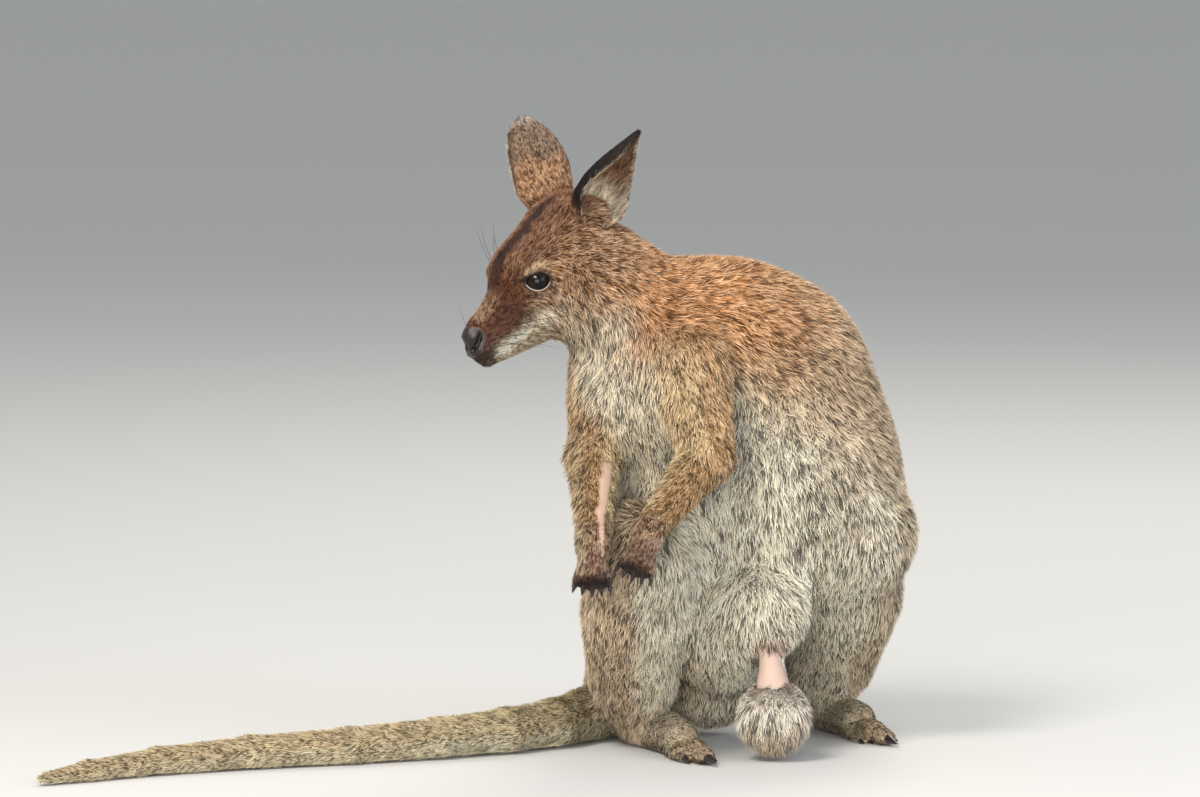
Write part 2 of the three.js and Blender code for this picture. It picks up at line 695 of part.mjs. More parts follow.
function makeHead() {
  const centre = onHead(-20, 0, -12);
  const [low, high] = [add(centre, [-120, -120, -125]), add(centre, [150, 130, 120])];
  const whole = meshField(torsoField, low, high, HEAD_CELL, HEAD_TOLERANCE);
  const headSide = trim(whole, NECK_CUT.point, scale(NECK_CUT.normal, -1));
  const head = pieceAt(headSide, onHead(60, 0, -14));
  for (const { name, sign } of SIDES) {
    const centreOfEye = onHead(0, sign * EYE_SPREAD, 0);
    keep(`eye_${name}`, ball(centreOfEye, EYE_RADIUS), COLOURS.eye, 0.15);
    keep(`ear_${name}`, earSolid(EARS[name], EAR_THICKNESS), COLOURS.ear);
  }
  keep("head", head, COLOURS.head);
  makeRoom("head", ["eye_right", "eye_left", "ear_right", "ear_left"]);
}

// ---------------------------------------------------------------- claws, hands and feet
// A curved claw from its root along `direction`, its point bent towards `bend`.
function claw(root, direction, bend, size, radius) {
  const at = (t) => add(add(root, scale(direction, size * t)), scale(bend, size * 0.3 * t * t));
  const thick = (t) => radius * (1 - t) + 0.5;
  const steps = [0, 0.5, 1];
  const parts = steps.slice(1).map((t, i) => limb(at(steps[i]), at(t), thick(steps[i]), thick(t), 1));
  return sweepField(union(parts), steps.map(at), 5, 3 * radius, cross(direction, bend));
}

// Adds a digit to a paw as a tapered tube through three points, and its claw as a node of its own.
function addDigit(paw, clawName, [root, middle, end], radius, tipRadius, clawSize, clawBend) {
  const along = unit(sub(end, middle));
  const flesh = standing(union([limb(root, middle, radius, radius, 1), limb(middle, end, radius, tipRadius, 1)]));
  const path = [root, middle, end, add(end, scale(along, 0.8 * tipRadius))];
  const nailRoot = add(end, scale(along, tipRadius * 0.35));
  const nailRadius = tipRadius * 0.55;
  const nail = claw(nailRoot, along, clawBend, clawSize, nailRadius);
  keep(clawName, flattened(nail), COLOURS.claw, 0.4);
  return paw.add(sweepField(flesh, path, 5, 3 * radius, clawBend));
}

function makeArm({ name, letter }) {
  const [shoulder, elbow, wrist, tip] = ["Shoulder", "Elbow", "Wrist", "Hand"].map((key) => joint(letter, key));
  const down = unit(sub(tip, wrist));
  const along = unit(sub(wrist, elbow));
  const across = unit(cross(down, [0, 1, 0]));
  const palmward = cross(across, down);
  const elbowCut = add(unit(sub(elbow, shoulder)), along);
  const wristCut = add(along, down);

  const sleeve = stations(add(elbow, scale(along, -20)), add(wrist, scale(along, 14)), 7);
  const lower = trim(sweepField(union([forearm(letter)]), sleeve, 10, 60), wrist, wristCut);
  keep(`forearm_${name}`, trim(lower, elbow, scale(elbowCut, -1)), COLOURS.limb);

  const knuckles = add(wrist, scale(down, PALM_LENGTH));
  const palm = union([limb(wrist, knuckles, ...PALM_RADII, 4, palmward, 0.8)]);
  let hand = sweepField(palm, stations(add(wrist, scale(down, -12)), knuckles, 3, 12), 7, 40, [0, 1, 0]);
  hand = trim(hand, wrist, scale(wristCut, -1));
  for (let i = -2; i <= 2; i++) {
    const turn = radians(i * FINGER_SPREAD);
    const out = add(scale(down, Math.cos(turn)), scale(across, Math.sin(turn)));
    const bent = unit(add(out, scale(palmward, 0.45)));
    const reach = FINGER_LENGTH * (1 - 0.08 * Math.abs(i));
    const root = add(knuckles, scale(across, i * FINGER_STEP));
    const middle = add(root, scale(out, 4 + reach / 2));
    const end = add(middle, scale(bent, reach / 2));
    const points = [root, middle, end];
    const tipRadius = FINGER_RADIUS - FINGER_TAPER;
    hand = addDigit(hand, `claw_hand_${name}_${i + 3}`, points, FINGER_RADIUS, tipRadius, FINGER_CLAW, palmward);
  }
  keep(`hand_${name}`, hand, COLOURS.paw);
  makeRoom(`hand_${name}`, [1, 2, 3, 4, 5].map((i) => `claw_hand_${name}_${i}`));
}

// Each toe: how far it sits out from the foot's middle line, its length and its radii. The fourth toe is the great
// one, the second and third are a thin pair that lie together, and there is no first.
const TOES = [
  { name: "2", out: -14.5, length: 38, radius: 5, tip: 4.2, claw: 9 },
  { name: "3", out: -7.5, length: 42, radius: 5, tip: 4.2, claw: 9 },
  { name: "4", out: 0, length: 60, radius: 12, tip: 9, claw: TOE_CLAW },
  { name: "5", out: 13, length: 40, radius: 8.5, tip: 6.5, claw: 14 },
];

function makeFoot({ name, letter, sign }) {
  const [heel, ballOfFoot, ankle] = ["Heel", "Ball", "Ankle"].map((key) => joint(letter, key));
  const forward = unit([ballOfFoot[0] - heel[0], ballOfFoot[1] - heel[1], 0]);
  const outward = scale(cross(forward, [0, 0, 1]), -sign);
  const field = standing(union([...footParts(letter), ...shinParts(letter)]));
  const low = [0, 1].map((i) => Math.min(heel[i], ballOfFoot[i]) - 45);
  const high = [0, 1].map((i) => Math.max(heel[i], ballOfFoot[i]) + 45);
  const whole = meshField(field, [...low, -15], [...high, ANKLE_CUT + 25], FOOT_CELL, FOOT_TOLERANCE);
  let foot = pieceAt(trim(whole, [0, 0, ANKLE_CUT], [0, 0, 1]), ankle);
  for (const toe of TOES) {
    const root = add(ballOfFoot, scale(outward, toe.out * 0.7));
    const rootAt = [root[0], root[1], toe.radius - SOLE * 0.5];
    const end = add(add(root, scale(outward, toe.out * 0.3)), scale(forward, toe.length));
    const endAt = [end[0], end[1], toe.tip - SOLE * 0.5];
    const points = [rootAt, lerp(rootAt, endAt, 0.6), endAt];
    foot = addDigit(foot, `claw_foot_${name}_${toe.name}`, points, toe.radius, toe.tip, toe.claw, [0, 0, -0.2]);
  }
  keep(`foot_${name}`, flattened(foot), COLOURS.limb);
  makeRoom(`foot_${name}`, TOES.map((toe) => `claw_foot_${name}_${toe.name}`));
}

// ---------------------------------------------------------------- tail
const tailDirection = (i) => unit(sub(TAIL[Math.min(i + 1, TAIL.length - 1)].at, TAIL[i - 1].at));

function makeTail() {
  for (const { name, from, to } of TAIL_PARTS) {
    const last = to === TAIL.length - 1;
    const path = [sub(TAIL[from].at, scale(tailDirection(from), 10))];
    for (let i = from; i < to; i++) path.push(TAIL[i].at, lerp(TAIL[i].at, TAIL[i + 1].at, 0.5));
    path.push(TAIL[to].at);
    if (!last) path.push(add(TAIL[to].at, scale(tailDirection(to), 10)));
    let tail = sweepField(tailField, path, 10, 80);
    tail = trim(tail, TAIL[from].at, scale(tailDirection(from), -1), 120, 40);
    if (!last) tail = trim(tail, TAIL[to].at, tailDirection(to), 120, 40);
    keep(name, biggest(flattened(tail)), COLOURS.tail);
  }
}

// ---------------------------------------------------------------- torso and limbs
const BOX_LOW = [-230, -190, -20];
const BOX_HIGH = [200, 260, 480];

// Takes from `rest` what lies in the zone of a limb, and returns the limb and what is left.
function part(rest, field, margin, bounds = []) {
  const zone = meshField((p) => field(p) - margin, BOX_LOW, BOX_HIGH, ZONE_CELL);
  const bounded = (solid, extra) =>
    bounds.reduce((s, { point, normal }) => trim(s, add(point, scale(normal, extra)), normal), solid);
  const limbSide = rest.intersect(bounded(zone, 0));
  return [biggest(limbSide), biggest(rest.subtract(bounded(swell(zone, GAP), GAP)))];
}

function makeTorso() {
  let rest = meshField(torsoField, BOX_LOW, BOX_HIGH, TORSO_CELL, TORSO_TOLERANCE);
  rest = trim(rest, NECK_CUT.point, NECK_CUT.normal, 200, 300);
  rest = trim(rest, TAIL[TAIL_START].at, tailDirection(TAIL_START), 45, 60);
  rest = biggest(rest);
  for (const { name, letter } of SIDES) {
    const side = unit(sub(joint(letter, "Hip"), JOINTS.pelvis));
    const inner = [{ point: add(JOINTS.pelvis, scale(side, 32)), normal: scale(side, -1) }];
    const [heel, ballOfFoot] = ["Heel", "Ball"].map((key) => joint(letter, key));
    const forward = unit([ballOfFoot[0] - heel[0], ballOfFoot[1] - heel[1], 0]);
    const underKnee = lerp(joint(letter, "Knee"), joint(letter, "Ankle"), 0.68);
    const downwards = add(scale(forward, 0.39), [0, 0, -0.92]);
    let leg;
    let arm;
    [leg, rest] = part(rest, union([...thighParts(letter), ...shinParts(letter)]), 9, inner);
    leg = trim(leg, [0, 0, ANKLE_CUT], [0, 0, -1]);
    [arm, rest] = part(rest, upperArm(letter).distance, 7);
    const elbow = joint(letter, "Elbow");
    const elbowCut = add(unit(sub(elbow, joint(letter, "Shoulder"))), unit(sub(joint(letter, "Wrist"), elbow)));
    keep(`thigh_${name}`, biggest(trim(leg, underKnee, downwards)), COLOURS.limb);
    keep(`shin_${name}`, biggest(trim(leg, underKnee, scale(downwards, -1))), COLOURS.limb);
    keep(`upper_arm_${name}`, biggest(trim(arm, elbow, elbowCut)), COLOURS.limb);
  }
  const cuts = [
    { name: "neck", point: [-88, 4, 388], normal: [-0.5, -0.2, 0.84], colour: COLOURS.neck },
    { name: "thorax", point: [20, 40, 300], normal: [-0.3, -0.15, 0.94], colour: COLOURS.back },
    { name: "abdomen", point: [0, 70, 196], normal: [0, -0.3, 0.95], colour: COLOURS.belly },
  ];
  for (const { name, point, normal, colour } of cuts) {
    keep(name, biggest(trim(rest, point, scale(normal, -1))), colour);
    rest = biggest(trim(rest, point, normal));
  }
  keep("rump", rest, COLOURS.back);
}

function makeScrotum() {
  const [low, high] = [[-40, -150, -15], [90, -20, 130]];
  const sack = meshField(standing(union(scrotumParts)), low, high, SCROTUM_CELL, HEAD_TOLERANCE);
  keep("scrotum", trim(sack, [0, 0, 92], [0, 0, 1]), COLOURS.skin);
}

makeHead();
makeTorso();
SIDES.forEach(makeArm);
SIDES.forEach(makeFoot);
makeTail();
makeScrotum();
makeRoom("thorax", ["forearm_right", "forearm_left"]);
makeRoom("foot_right", ["tail_base"]);
makeRoom("rump", ["tail_base", "scrotum", "foot_right", "foot_left"]);

export default assemble();
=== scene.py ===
"""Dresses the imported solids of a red-necked wallaby with skin, coat, eyes, claws and whiskers.

Lengths are in millimetres in the frame of the animal's own joints, and are turned to metres in the
part's frame when a mesh is made. The skin follows the same masses and limbs as the solids, less the
depth of the coat.
"""

from __future__ import annotations

import logging
import math
from collections.abc import Iterator
from contextlib import contextmanager
from dataclasses import dataclass, field
from enum import Enum

import bpy
import numpy as np
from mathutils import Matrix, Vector

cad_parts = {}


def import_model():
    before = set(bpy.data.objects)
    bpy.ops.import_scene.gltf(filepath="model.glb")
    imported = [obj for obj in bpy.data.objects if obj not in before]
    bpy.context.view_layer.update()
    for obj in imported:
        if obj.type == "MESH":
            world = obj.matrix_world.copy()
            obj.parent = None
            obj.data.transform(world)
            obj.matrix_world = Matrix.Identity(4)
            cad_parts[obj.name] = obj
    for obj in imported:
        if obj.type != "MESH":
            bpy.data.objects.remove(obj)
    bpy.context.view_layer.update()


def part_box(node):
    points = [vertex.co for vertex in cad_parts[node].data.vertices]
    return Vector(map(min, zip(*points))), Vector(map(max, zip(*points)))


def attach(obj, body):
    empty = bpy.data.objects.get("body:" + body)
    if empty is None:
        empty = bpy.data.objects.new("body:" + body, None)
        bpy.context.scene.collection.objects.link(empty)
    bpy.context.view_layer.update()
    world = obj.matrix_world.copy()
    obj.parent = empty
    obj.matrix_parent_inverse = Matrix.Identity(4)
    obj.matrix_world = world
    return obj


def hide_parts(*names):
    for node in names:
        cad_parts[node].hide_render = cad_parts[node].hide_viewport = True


LOG = logging.getLogger("wallaby")
Array = np.ndarray
SEED = 7
CUBE = [np.array([i & 1, i >> 1 & 1, i >> 2 & 1]) for i in range(8)]  # the corners of a unit cube


# ---------------------------------------------------------------- vectors and noise
def vec(*values: float) -> Array:
    """A point or direction as an array."""
    return np.array(values, float)


def unit(v: Array) -> Array:
    """Vectors at length one."""
    return v / np.maximum(np.linalg.norm(v, axis=-1, keepdims=True), 1e-9)


def dot(a: Array, b: Array) -> Array:
    """The dot product of each row of a with the same row of b."""
    return np.einsum("ij,ij->i", a, b)


def mix(a: Array, b: Array, t: float | Array) -> Array:
    """A blend from a to b."""
    return a * (1 - t) + b * t


def ramp(low: float, high: float, x: Array) -> Array:
    """A smooth step from 0 at low to 1 at high."""
    t = np.clip((x - low) / (high - low), 0, 1)
    return t * t * (3 - 2 * t)


def smooth_min(a: Array, b: Array, k: float) -> Array:
    """The lower of two distances, with a rounded joint of size k."""
    h = np.maximum(k - np.abs(a - b), 0) / k
    return np.minimum(a, b) - h * h * k / 4


class Noise:
    """Smooth random values between -1 and 1 in space, the same at each run."""

    TABLE = 32
    SHIFT = 500.0  # in cells, so that no cell of the animal has a negative number

    def __init__(self, seed: int) -> None:
        """Fills the table of values that belongs to the seed."""
        size = self.TABLE
        self.values = np.random.default_rng(seed).uniform(-1, 1, (size, size, size))

    def __call__(self, points: Array, size: float) -> Array:
        """Values at points.

        Args:
            points: places, one to a row.
            size: distance between independent values.

        Returns:
            One value for each point.
        """
        scaled = points / size + self.SHIFT
        cell = np.floor(scaled).astype(int)
        t = scaled - cell
        t = t * t * (3 - 2 * t)
        total = np.zeros(len(points))
        for offset in CUBE:
            i, j, k = ((cell + offset) % self.TABLE).T
            weight = np.prod(np.where(offset == 1, t, 1 - t), axis=1)
            total += weight * self.values[i, j, k]
        return total


NOISE = Noise(SEED)


def linear(colour: str) -> Array:
    """Turns an sRGB hex colour to linear red, green and blue."""
    srgb = np.array([int(colour[i : i + 2], 16) / 255 for i in (0, 2, 4)])
    return np.where(srgb <= 0.04045, srgb / 12.92, ((srgb + 0.055) / 1.055) ** 2.4)


# ---------------------------------------------------------------- the skeleton
SOLE = 3.0  # feet and tail are pressed this far into their round section by the floor
FLOOR = 0.85  # nothing reaches lower than this


def on_floor(x: float, y: float, radius: float) -> Array:
    """A point on the middle line of something round that is pressed on the floor."""
    return vec(x, y, radius - SOLE)


JOINTS: dict[str, Array] = {
    "pelvis": vec(-18, 98, 165),
    "lowerBack": vec(14, 86, 222),
    "belly": vec(24, 36, 228),
    "loin": vec(36, 58, 282),
    "ribs": vec(20, 42, 342),
    "withers": vec(-24, 26, 376),
    "chest": vec(-90, -22, 330),
    "neckBase": vec(-84, 4, 384),
    "neckTop": vec(-132, -14, 420),
    "eyes": vec(-202, -40, 430),
    "rHip": vec(-70, 60, 165),
    "rKnee": vec(-98, -98, 187),
    "rAnkle": vec(-100, 12, 50),
    "rHeel": on_floor(-94, 36, 24),
    "rBall": on_floor(-58, -58, 19),
    "rHock": vec(-97, 22, 30),
    "lHip": vec(24, 118, 165),
    "lKnee": vec(107, 10, 192),
    "lAnkle": vec(76, 140, 48),
    "lHeel": on_floor(62, 166, 24),
    "lBall": on_floor(103, 74, 19),
    "lHock": vec(68, 150, 30),
    "rShoulder": vec(-116, -5, 340),
    "rElbow": vec(-135, -66, 274),
    "rWrist": vec(-136, -170, 208),
    "rHand": vec(-138, -182, 152),
    "lShoulder": vec(-52, -50, 352),
    "lElbow": vec(-36, -97, 276),
    "lWrist": vec(-86, -172, 218),
    "lHand": vec(-106, -186, 164),
}
# The tail's middle line from its root to its tip, with its radius at each point.
TAIL: list[tuple[Array, float]] = [
    (vec(-34, 140, 126), 64),
    (vec(-70, 152, 84), 50),
    (vec(-102, 130, 50), 38),
    *((on_floor(x, y, r), r) for x, y, r in [
        (-122, 92, 30), (-145, 48, 26), (-172, 8, 24), (-214, -32, 22.5), (-275, -70, 20.5),
        (-355, -108, 18.5), (-440, -140, 17), (-520, -180, 14.5), (-580, -224, 11.5),
    ]),
    (vec(-616, -252, 6.5), 7.5),
]
TAIL_ROOT = 3  # the point of TAIL where the free tail begins
SACK = vec(25, -88, 42)  # the middle of the scrotum


class Side(Enum):
    """The two sides of the animal, with the sign of each on the axis to its left."""

    RIGHT = -1
    LEFT = 1

    @property
    def word(self) -> str:
        """The side's name."""
        return self.name.lower()

    def joint(self, name: str) -> Array:
        """A joint of this side."""
        return JOINTS[self.word[0] + name]


class Head:
    """The head's own axes and sizes."""

    PITCH, YAW, ROLL = 33, 36, 3  # degrees: nose down, towards the front, crown towards the left
    EYE_RADIUS = 12.5
    EYE_SPREAD = 25

    def __init__(self) -> None:
        """Works out forward, left and up."""
        pitch, yaw, roll = (math.radians(a) for a in (self.PITCH, self.YAW, self.ROLL))
        flat = math.cos(pitch)
        self.forward = -vec(flat * math.cos(yaw), flat * math.sin(yaw), math.sin(pitch))
        level = vec(math.sin(yaw), -math.cos(yaw), 0)
        upright = np.cross(self.forward, level)
        self.left = level * math.cos(roll) - upright * math.sin(roll)
        self.up = np.cross(self.forward, self.left)
        self.axes = np.array([self.forward, self.left, self.up])

    def at(self, forward: float, left: float, up: float) -> Array:
        """A point of the head from its distances forward, left and up of the middle of the eyes."""
        return JOINTS["eyes"] + vec(forward, left, up) @ self.axes

    def local(self, points: Array) -> Array:
        """Points as distances forward, left and up of the middle of the eyes."""
        return (points - JOINTS["eyes"]) @ self.axes.T

    @staticmethod
    def mirrored(local: Array) -> Array:
        """Local points, with those on the right half turned over to the left."""
        f, left, u = local.T
        return np.stack([f, np.abs(left), u], 1)

    def eye(self, side: Side) -> Array:
        """The middle of an eyeball."""
        return self.at(0, side.value * self.EYE_SPREAD, 0)


HEAD = Head()


# ---------------------------------------------------------------- flesh
@dataclass(frozen=True)
class Limb:
    """A tapered limb from a to b, flattened across one direction if that is given."""

    a: Array
    b: Array
    ra: float
    rb: float
    blend: float  # size of the rounded joint with what it grows from
    flat: Array | None = None
    share: float = 1.0  # how thick it is across `flat`, for its radius

    def reach(self) -> tuple[Array, float]:
        """The middle and radius of a ball round the limb."""
        half = float(np.linalg.norm(self.b - self.a)) / 2
        return (self.a + self.b) / 2, half + max(self.ra, self.rb)

    def distance(self, p: Array) -> Array:
        """Distance from the limb's surface at points.

        Args:
            p: points, one to a row.

        Returns:
            One distance for each, negative inside the limb.
        """
        ab = self.b - self.a
        ap = p - self.a
        t = np.clip(ap @ ab / (ab @ ab), 0, 1)
        q = ap - t[:, None] * ab
        if self.flat is not None:
            q = q + (q @ self.flat)[:, None] * self.flat * (1 / self.share - 1)
        return (np.linalg.norm(q, axis=1) - mix(self.ra, self.rb, t)) * min(1.0, self.share)

    def shell(self, ball: Array) -> Array:
        """The points of a unit ball, stretched to the limb's shape.

        Args:
            ball: points of a ball of radius 1.

        Returns:
            The same points on the limb's surface.
        """
        along = unit(self.b - self.a)
        side = unit(np.cross(along, vec(0.31, 0.87, 0.39)))
        turned = ball @ np.array([side, np.cross(along, side), along])
        far = ball[:, 2:] > 0
        if self.flat is not None:
            turned = turned - (turned @ self.flat)[:, None] * self.flat * (1 - self.share)
        return np.where(far, self.b + turned * self.rb, self.a + turned * self.ra)


@dataclass(frozen=True)
class Mass:
    """A rounded mass with its centre and its three half sizes along its axes."""

    centre: Array
    radii: Array
    blend: float
    axes: Array = field(default_factory=lambda: np.eye(3))

    def reach(self) -> tuple[Array, float]:
        """The middle and radius of a ball round the mass."""
        return self.centre, float(max(self.radii))

    def distance(self, p: Array) -> Array:
        """Distance from the mass's surface at points.

        Args:
            p: points, one to a row.

        Returns:
            One distance for each, negative inside the mass.
        """
        q = (p - self.centre) @ self.axes.T / self.radii
        k0 = np.linalg.norm(q, axis=1)
        k1 = np.linalg.norm(q / self.radii, axis=1)
        return k0 * (k0 - 1) / np.maximum(k1, 1e-6)

    def shell(self, ball: Array) -> Array:
        """The points of a unit ball, stretched to the mass's shape."""
        return self.centre + (ball * self.radii) @ self.axes


def head_flesh() -> list[Limb | Mass]:
    """Neck, skull, muzzle, jaw, cheeks, brows and ear bases.

    Returns:
        The masses and limbs, in the order in which they blend.
    """
    at, axes = HEAD.at, HEAD.axes
    parts: list[Limb | Mass] = [
        Limb(JOINTS["neckBase"], JOINTS["neckTop"], 64, 54, 30),
        Limb(JOINTS["neckTop"], at(-62, 0, -8), 54, 42, 25),
        Mass(at(-58, 0, 6), vec(50, 36, 36), 14, axes),
        Mass(at(-14, 0, 6), vec(42, 31, 29), 14, axes),
        Limb(at(10, 0, -7), at(56, 0, -15), 25, 14, 10, HEAD.left, 0.84),
        Limb(at(54, 0, -13), at(69, 0, -14), 12.5, 12.2, 8, HEAD.left, 0.92),
        Limb(at(-30, 0, -46), at(66.5, 0, -37.5), 31, 11.5, 12, HEAD.left, 0.82),
    ]
    for s in (-1, 1):
        parts += [
            Mass(at(-24, s * 19, -28), vec(40, 18, 33), 14, axes),
            Mass(at(-4, s * 22, -9), vec(30, 10, 12), 10, axes),
            Mass(at(-3, s * 22, 12), vec(20, 8, 7), 8, axes),
            Limb(at(36, s * 8, -25), at(70.5, s * 5, -27), 13, 10, 8),
            Limb(at(-72, s * 17, 8), at(-81, s * 25, 15), 27, 16, 14),
        ]
    return parts


def trunk_flesh() -> list[Limb | Mass]:
    """Hips, belly, chest, shoulders and the flesh under the body.

    Returns:
        The masses and limbs, in the order in which they blend.
    """
    J = JOINTS
    return [
        Mass(J["pelvis"], vec(90, 88, 92), 30),
        Mass(J["lowerBack"], vec(88, 84, 88), 40),
        Mass(J["belly"], vec(112, 104, 112), 40),
        Mass(vec(72, 46, 236), vec(68, 78, 68), 30),
        Mass(J["loin"], vec(96, 86, 98), 30),
        Mass(J["ribs"], vec(90, 74, 86), 30),
        Limb(vec(-88, -14, 316), vec(-58, 10, 226), 49, 61, 30),
        Mass(J["withers"], vec(78, 58, 70), 30),
        Mass(J["chest"], vec(62, 54, 66), 30),
        Limb(vec(-20, 10, 112), vec(10, -40, 132), 62, 50, 25),
        Mass(vec(-30, 88, 76), vec(58, 68, 69), 25),
    ]


def leg_flesh(side: Side) -> list[Limb | Mass]:
    """Thigh with its ham, and shin with its calf.

    Args:
        side: which leg.

    Returns:
        Its masses and limbs.
    """
    hip, knee, ankle = (side.joint(name) for name in ("Hip", "Knee", "Ankle"))
    femur = unit(knee - hip)
    outward = unit(np.cross(femur, ankle - knee))
    ham = mix(mix(hip, knee, 0.55), ankle, 0.3)
    return [
        Limb(hip, knee, 80, 46, 36),
        Mass(ham, vec(80, 66, 46), 20, np.array([femur, np.cross(outward, femur), outward])),
        Limb(knee, ankle, 47, 34, 14),
        Limb(mix(knee, ankle, 0.4), mix(knee, ankle, 0.85), 50, 43, 14),
    ]


@dataclass(frozen=True)
class Toe:
    """A toe: how far it sits out from the foot's middle line, its length and its radii."""

    out: float
    length: float
    radius: float
    tip: float


TOES = [Toe(-14.5, 38, 5, 4.2), Toe(-7.5, 42, 5, 4.2), Toe(0, 60, 12, 9), Toe(13, 40, 8.5, 6.5)]


def foot_flesh(side: Side) -> list[Limb | Mass]:
    """Hock, sole and toes.

    Args:
        side: which foot.

    Returns:
        Its hock and sole, then two limbs for each toe.
    """
    ankle, hock, heel, ball = (side.joint(name) for name in ("Ankle", "Hock", "Heel", "Ball"))
    forward = unit((ball - heel) * vec(1, 1, 0))
    outward = np.cross(forward, vec(0, 0, 1)) * -side.value
    parts: list[Limb | Mass] = [Limb(ankle, hock, 30, 25, 10), Limb(heel, ball, 24, 18, 8)]
    for toe in TOES:
        root = (ball + outward * toe.out * 0.7) * vec(1, 1, 0)
        end = root + outward * toe.out * 0.3 + forward * toe.length
        root = root + vec(0, 0, toe.radius - SOLE / 2)
        end = end + vec(0, 0, toe.tip - SOLE / 2)
        middle = mix(root, end, 0.6)
        parts += [
            Limb(root, middle, toe.radius, toe.radius, 2),
            Limb(middle, end, toe.radius, toe.tip, 2),
        ]
    return parts


@dataclass(frozen=True)
class Fingers:
    """The sizes of a hand's five fingers."""

    length: float = 18
    radius: float = 4.6
    taper: float = 0.8
    spread: float = 9  # degrees from one finger to the next
    step: float = 4.7  # between the roots of neighbours
    palm: float = 22  # from the wrist to the roots
    curl: float = 0.45  # how far the ends turn towards the palm

    def axes(self, side: Side) -> tuple[Array, Array, Array]:
        """Down the hand, across it and towards its palm.

        Args:
            side: which hand.

        Returns:
            Three directions at right angles.
        """
        down = unit(side.joint("Hand") - side.joint("Wrist"))
        across = unit(np.cross(down, vec(0, 1, 0)))
        return down, across, np.cross(across, down)

    def paths(self, side: Side) -> list[list[Array]]:
        """The root, middle and end of each finger.

        Args:
            side: which hand.

        Returns:
            Three points for each finger.
        """
        down, across, palmward = self.axes(side)
        paths = []
        for i in range(-2, 3):
            turn = math.radians(i * self.spread)
            out = down * math.cos(turn) + across * math.sin(turn)
            bent = unit(out + palmward * self.curl)
            reach = self.length * (1 - 0.08 * abs(i))
            root = side.joint("Wrist") + down * self.palm + across * i * self.step
            middle = root + out * (4 + reach / 2)
            paths.append([root, middle, middle + bent * reach / 2])
        return paths


FINGERS = Fingers()


def arm_flesh(side: Side) -> list[Limb | Mass]:
    """Forearm, palm and fingers. The upper arm belongs to the trunk.

    Args:
        side: which arm.

    Returns:
        Its limbs, from the elbow to the fingertips.
    """
    elbow, wrist = side.joint("Elbow"), side.joint("Wrist")
    down, _, palmward = FINGERS.axes(side)
    parts: list[Limb | Mass] = [
        Limb(elbow, wrist, 26, 15, 8),
        Limb(wrist, wrist + down * FINGERS.palm, 15, 14, 6, palmward, 0.8),
    ]
    radius = FINGERS.radius
    for root, middle, end in FINGERS.paths(side):
        parts += [
            Limb(root, middle, radius, radius, 1.5),
            Limb(middle, end, radius, radius - FINGERS.taper, 1.5),
        ]
    return parts


def tail_flesh() -> list[Limb | Mass]:
    """The tail from its root to its tip."""
    pairs = enumerate(zip(TAIL, TAIL[1:]))
    return [Limb(a, b, ra, rb, 20 if i < TAIL_ROOT else 6) for i, ((a, ra), (b, rb)) in pairs]


def sack_flesh() -> list[Limb | Mass]:
    """The scrotum and its stalk."""
    stalk = Limb(vec(20, -64, 112), vec(23, -84, 78), 11, 17, 10)
    return [stalk, Mass(SACK, vec(35, 30, 36), 12)]


class Flesh:
    """The animal's whole outside, to the tips of its coat, as one distance field."""

    NEARBY = 45.0  # parts further than this from a point don't move its distance

    def __init__(self) -> None:
        """Gathers the masses and limbs in the order in which they blend."""
        self.parts: list[Limb | Mass] = [*trunk_flesh(), *tail_flesh()]
        for side in Side:
            self.parts += leg_flesh(side)
        self.parts += head_flesh()
        for side in Side:
            self.parts.append(Limb(side.joint("Shoulder"), side.joint("Elbow"), 42, 27, 22))
        for side in Side:
            self.parts += arm_flesh(side) + foot_flesh(side)
        self.parts += sack_flesh()

    def distance(self, p: Array) -> Array:
        """Distance from the outside at points, negative within.

        Args:
            p: points, one to a row.

        Returns:
            One distance for each.
        """
        d = np.full(len(p), 1e3)
        for part in self.parts:
            centre, reach = part.reach()
            near = dot(p - centre, p - centre) < (reach + self.NEARBY) ** 2
            if near.any():
                d[near] = smooth_min(d[near], part.distance(p[near]), part.blend)
        return np.maximum(d, -p[:, 2])

    def slope(self, p: Array, step: float = 0.5) -> Array:
        """The direction and rate at which the distance grows."""
        steps = step * np.eye(3)
        return np.stack([self.distance(p + s) - self.distance(p - s) for s in steps], 1) / (2 * step)

    def settle(self, p: Array, depth: Array, passes: int = 4) -> Array:
        """Moves points to where they lie at a depth under the outside.

        Args:
            p: points near the outside.
            depth: how far inside each is wanted.
            passes: how often each is moved.

        Returns:
            The moved points.
        """
        for _ in range(passes):
            slope = self.slope(p)
            steep = np.maximum(dot(slope, slope), 0.25)
            move = np.clip((self.distance(p) + depth) / steep, -6, 6)
            p = p - slope * move[:, None]
        return p


FLESH = Flesh()


# ---------------------------------------------------------------- from millimetres to meshes
class Place:
    """The shift from the joints' millimetres to the part's metres."""

    def __init__(self) -> None:
        """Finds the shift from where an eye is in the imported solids."""
        low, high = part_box("eye_right")
        self.shift = (np.array(low) + np.array(high)) / 2 - HEAD.eye(Side.RIGHT) / 1000

    def metres(self, points: Array) -> Array:
        """Points in the part's frame."""
        return points / 1000 + self.shift

def deselect() -> None:
    """Leaves nothing selected."""
    for item in bpy.context.selected_objects:
        item.select_set(False)


def activate(piece: bpy.types.Object) -> None:
    """Makes one object the only one selected.

    Args:
        piece: the object.
    """
    deselect()
    piece.select_set(True)
    bpy.context.view_layer.objects.active = piece


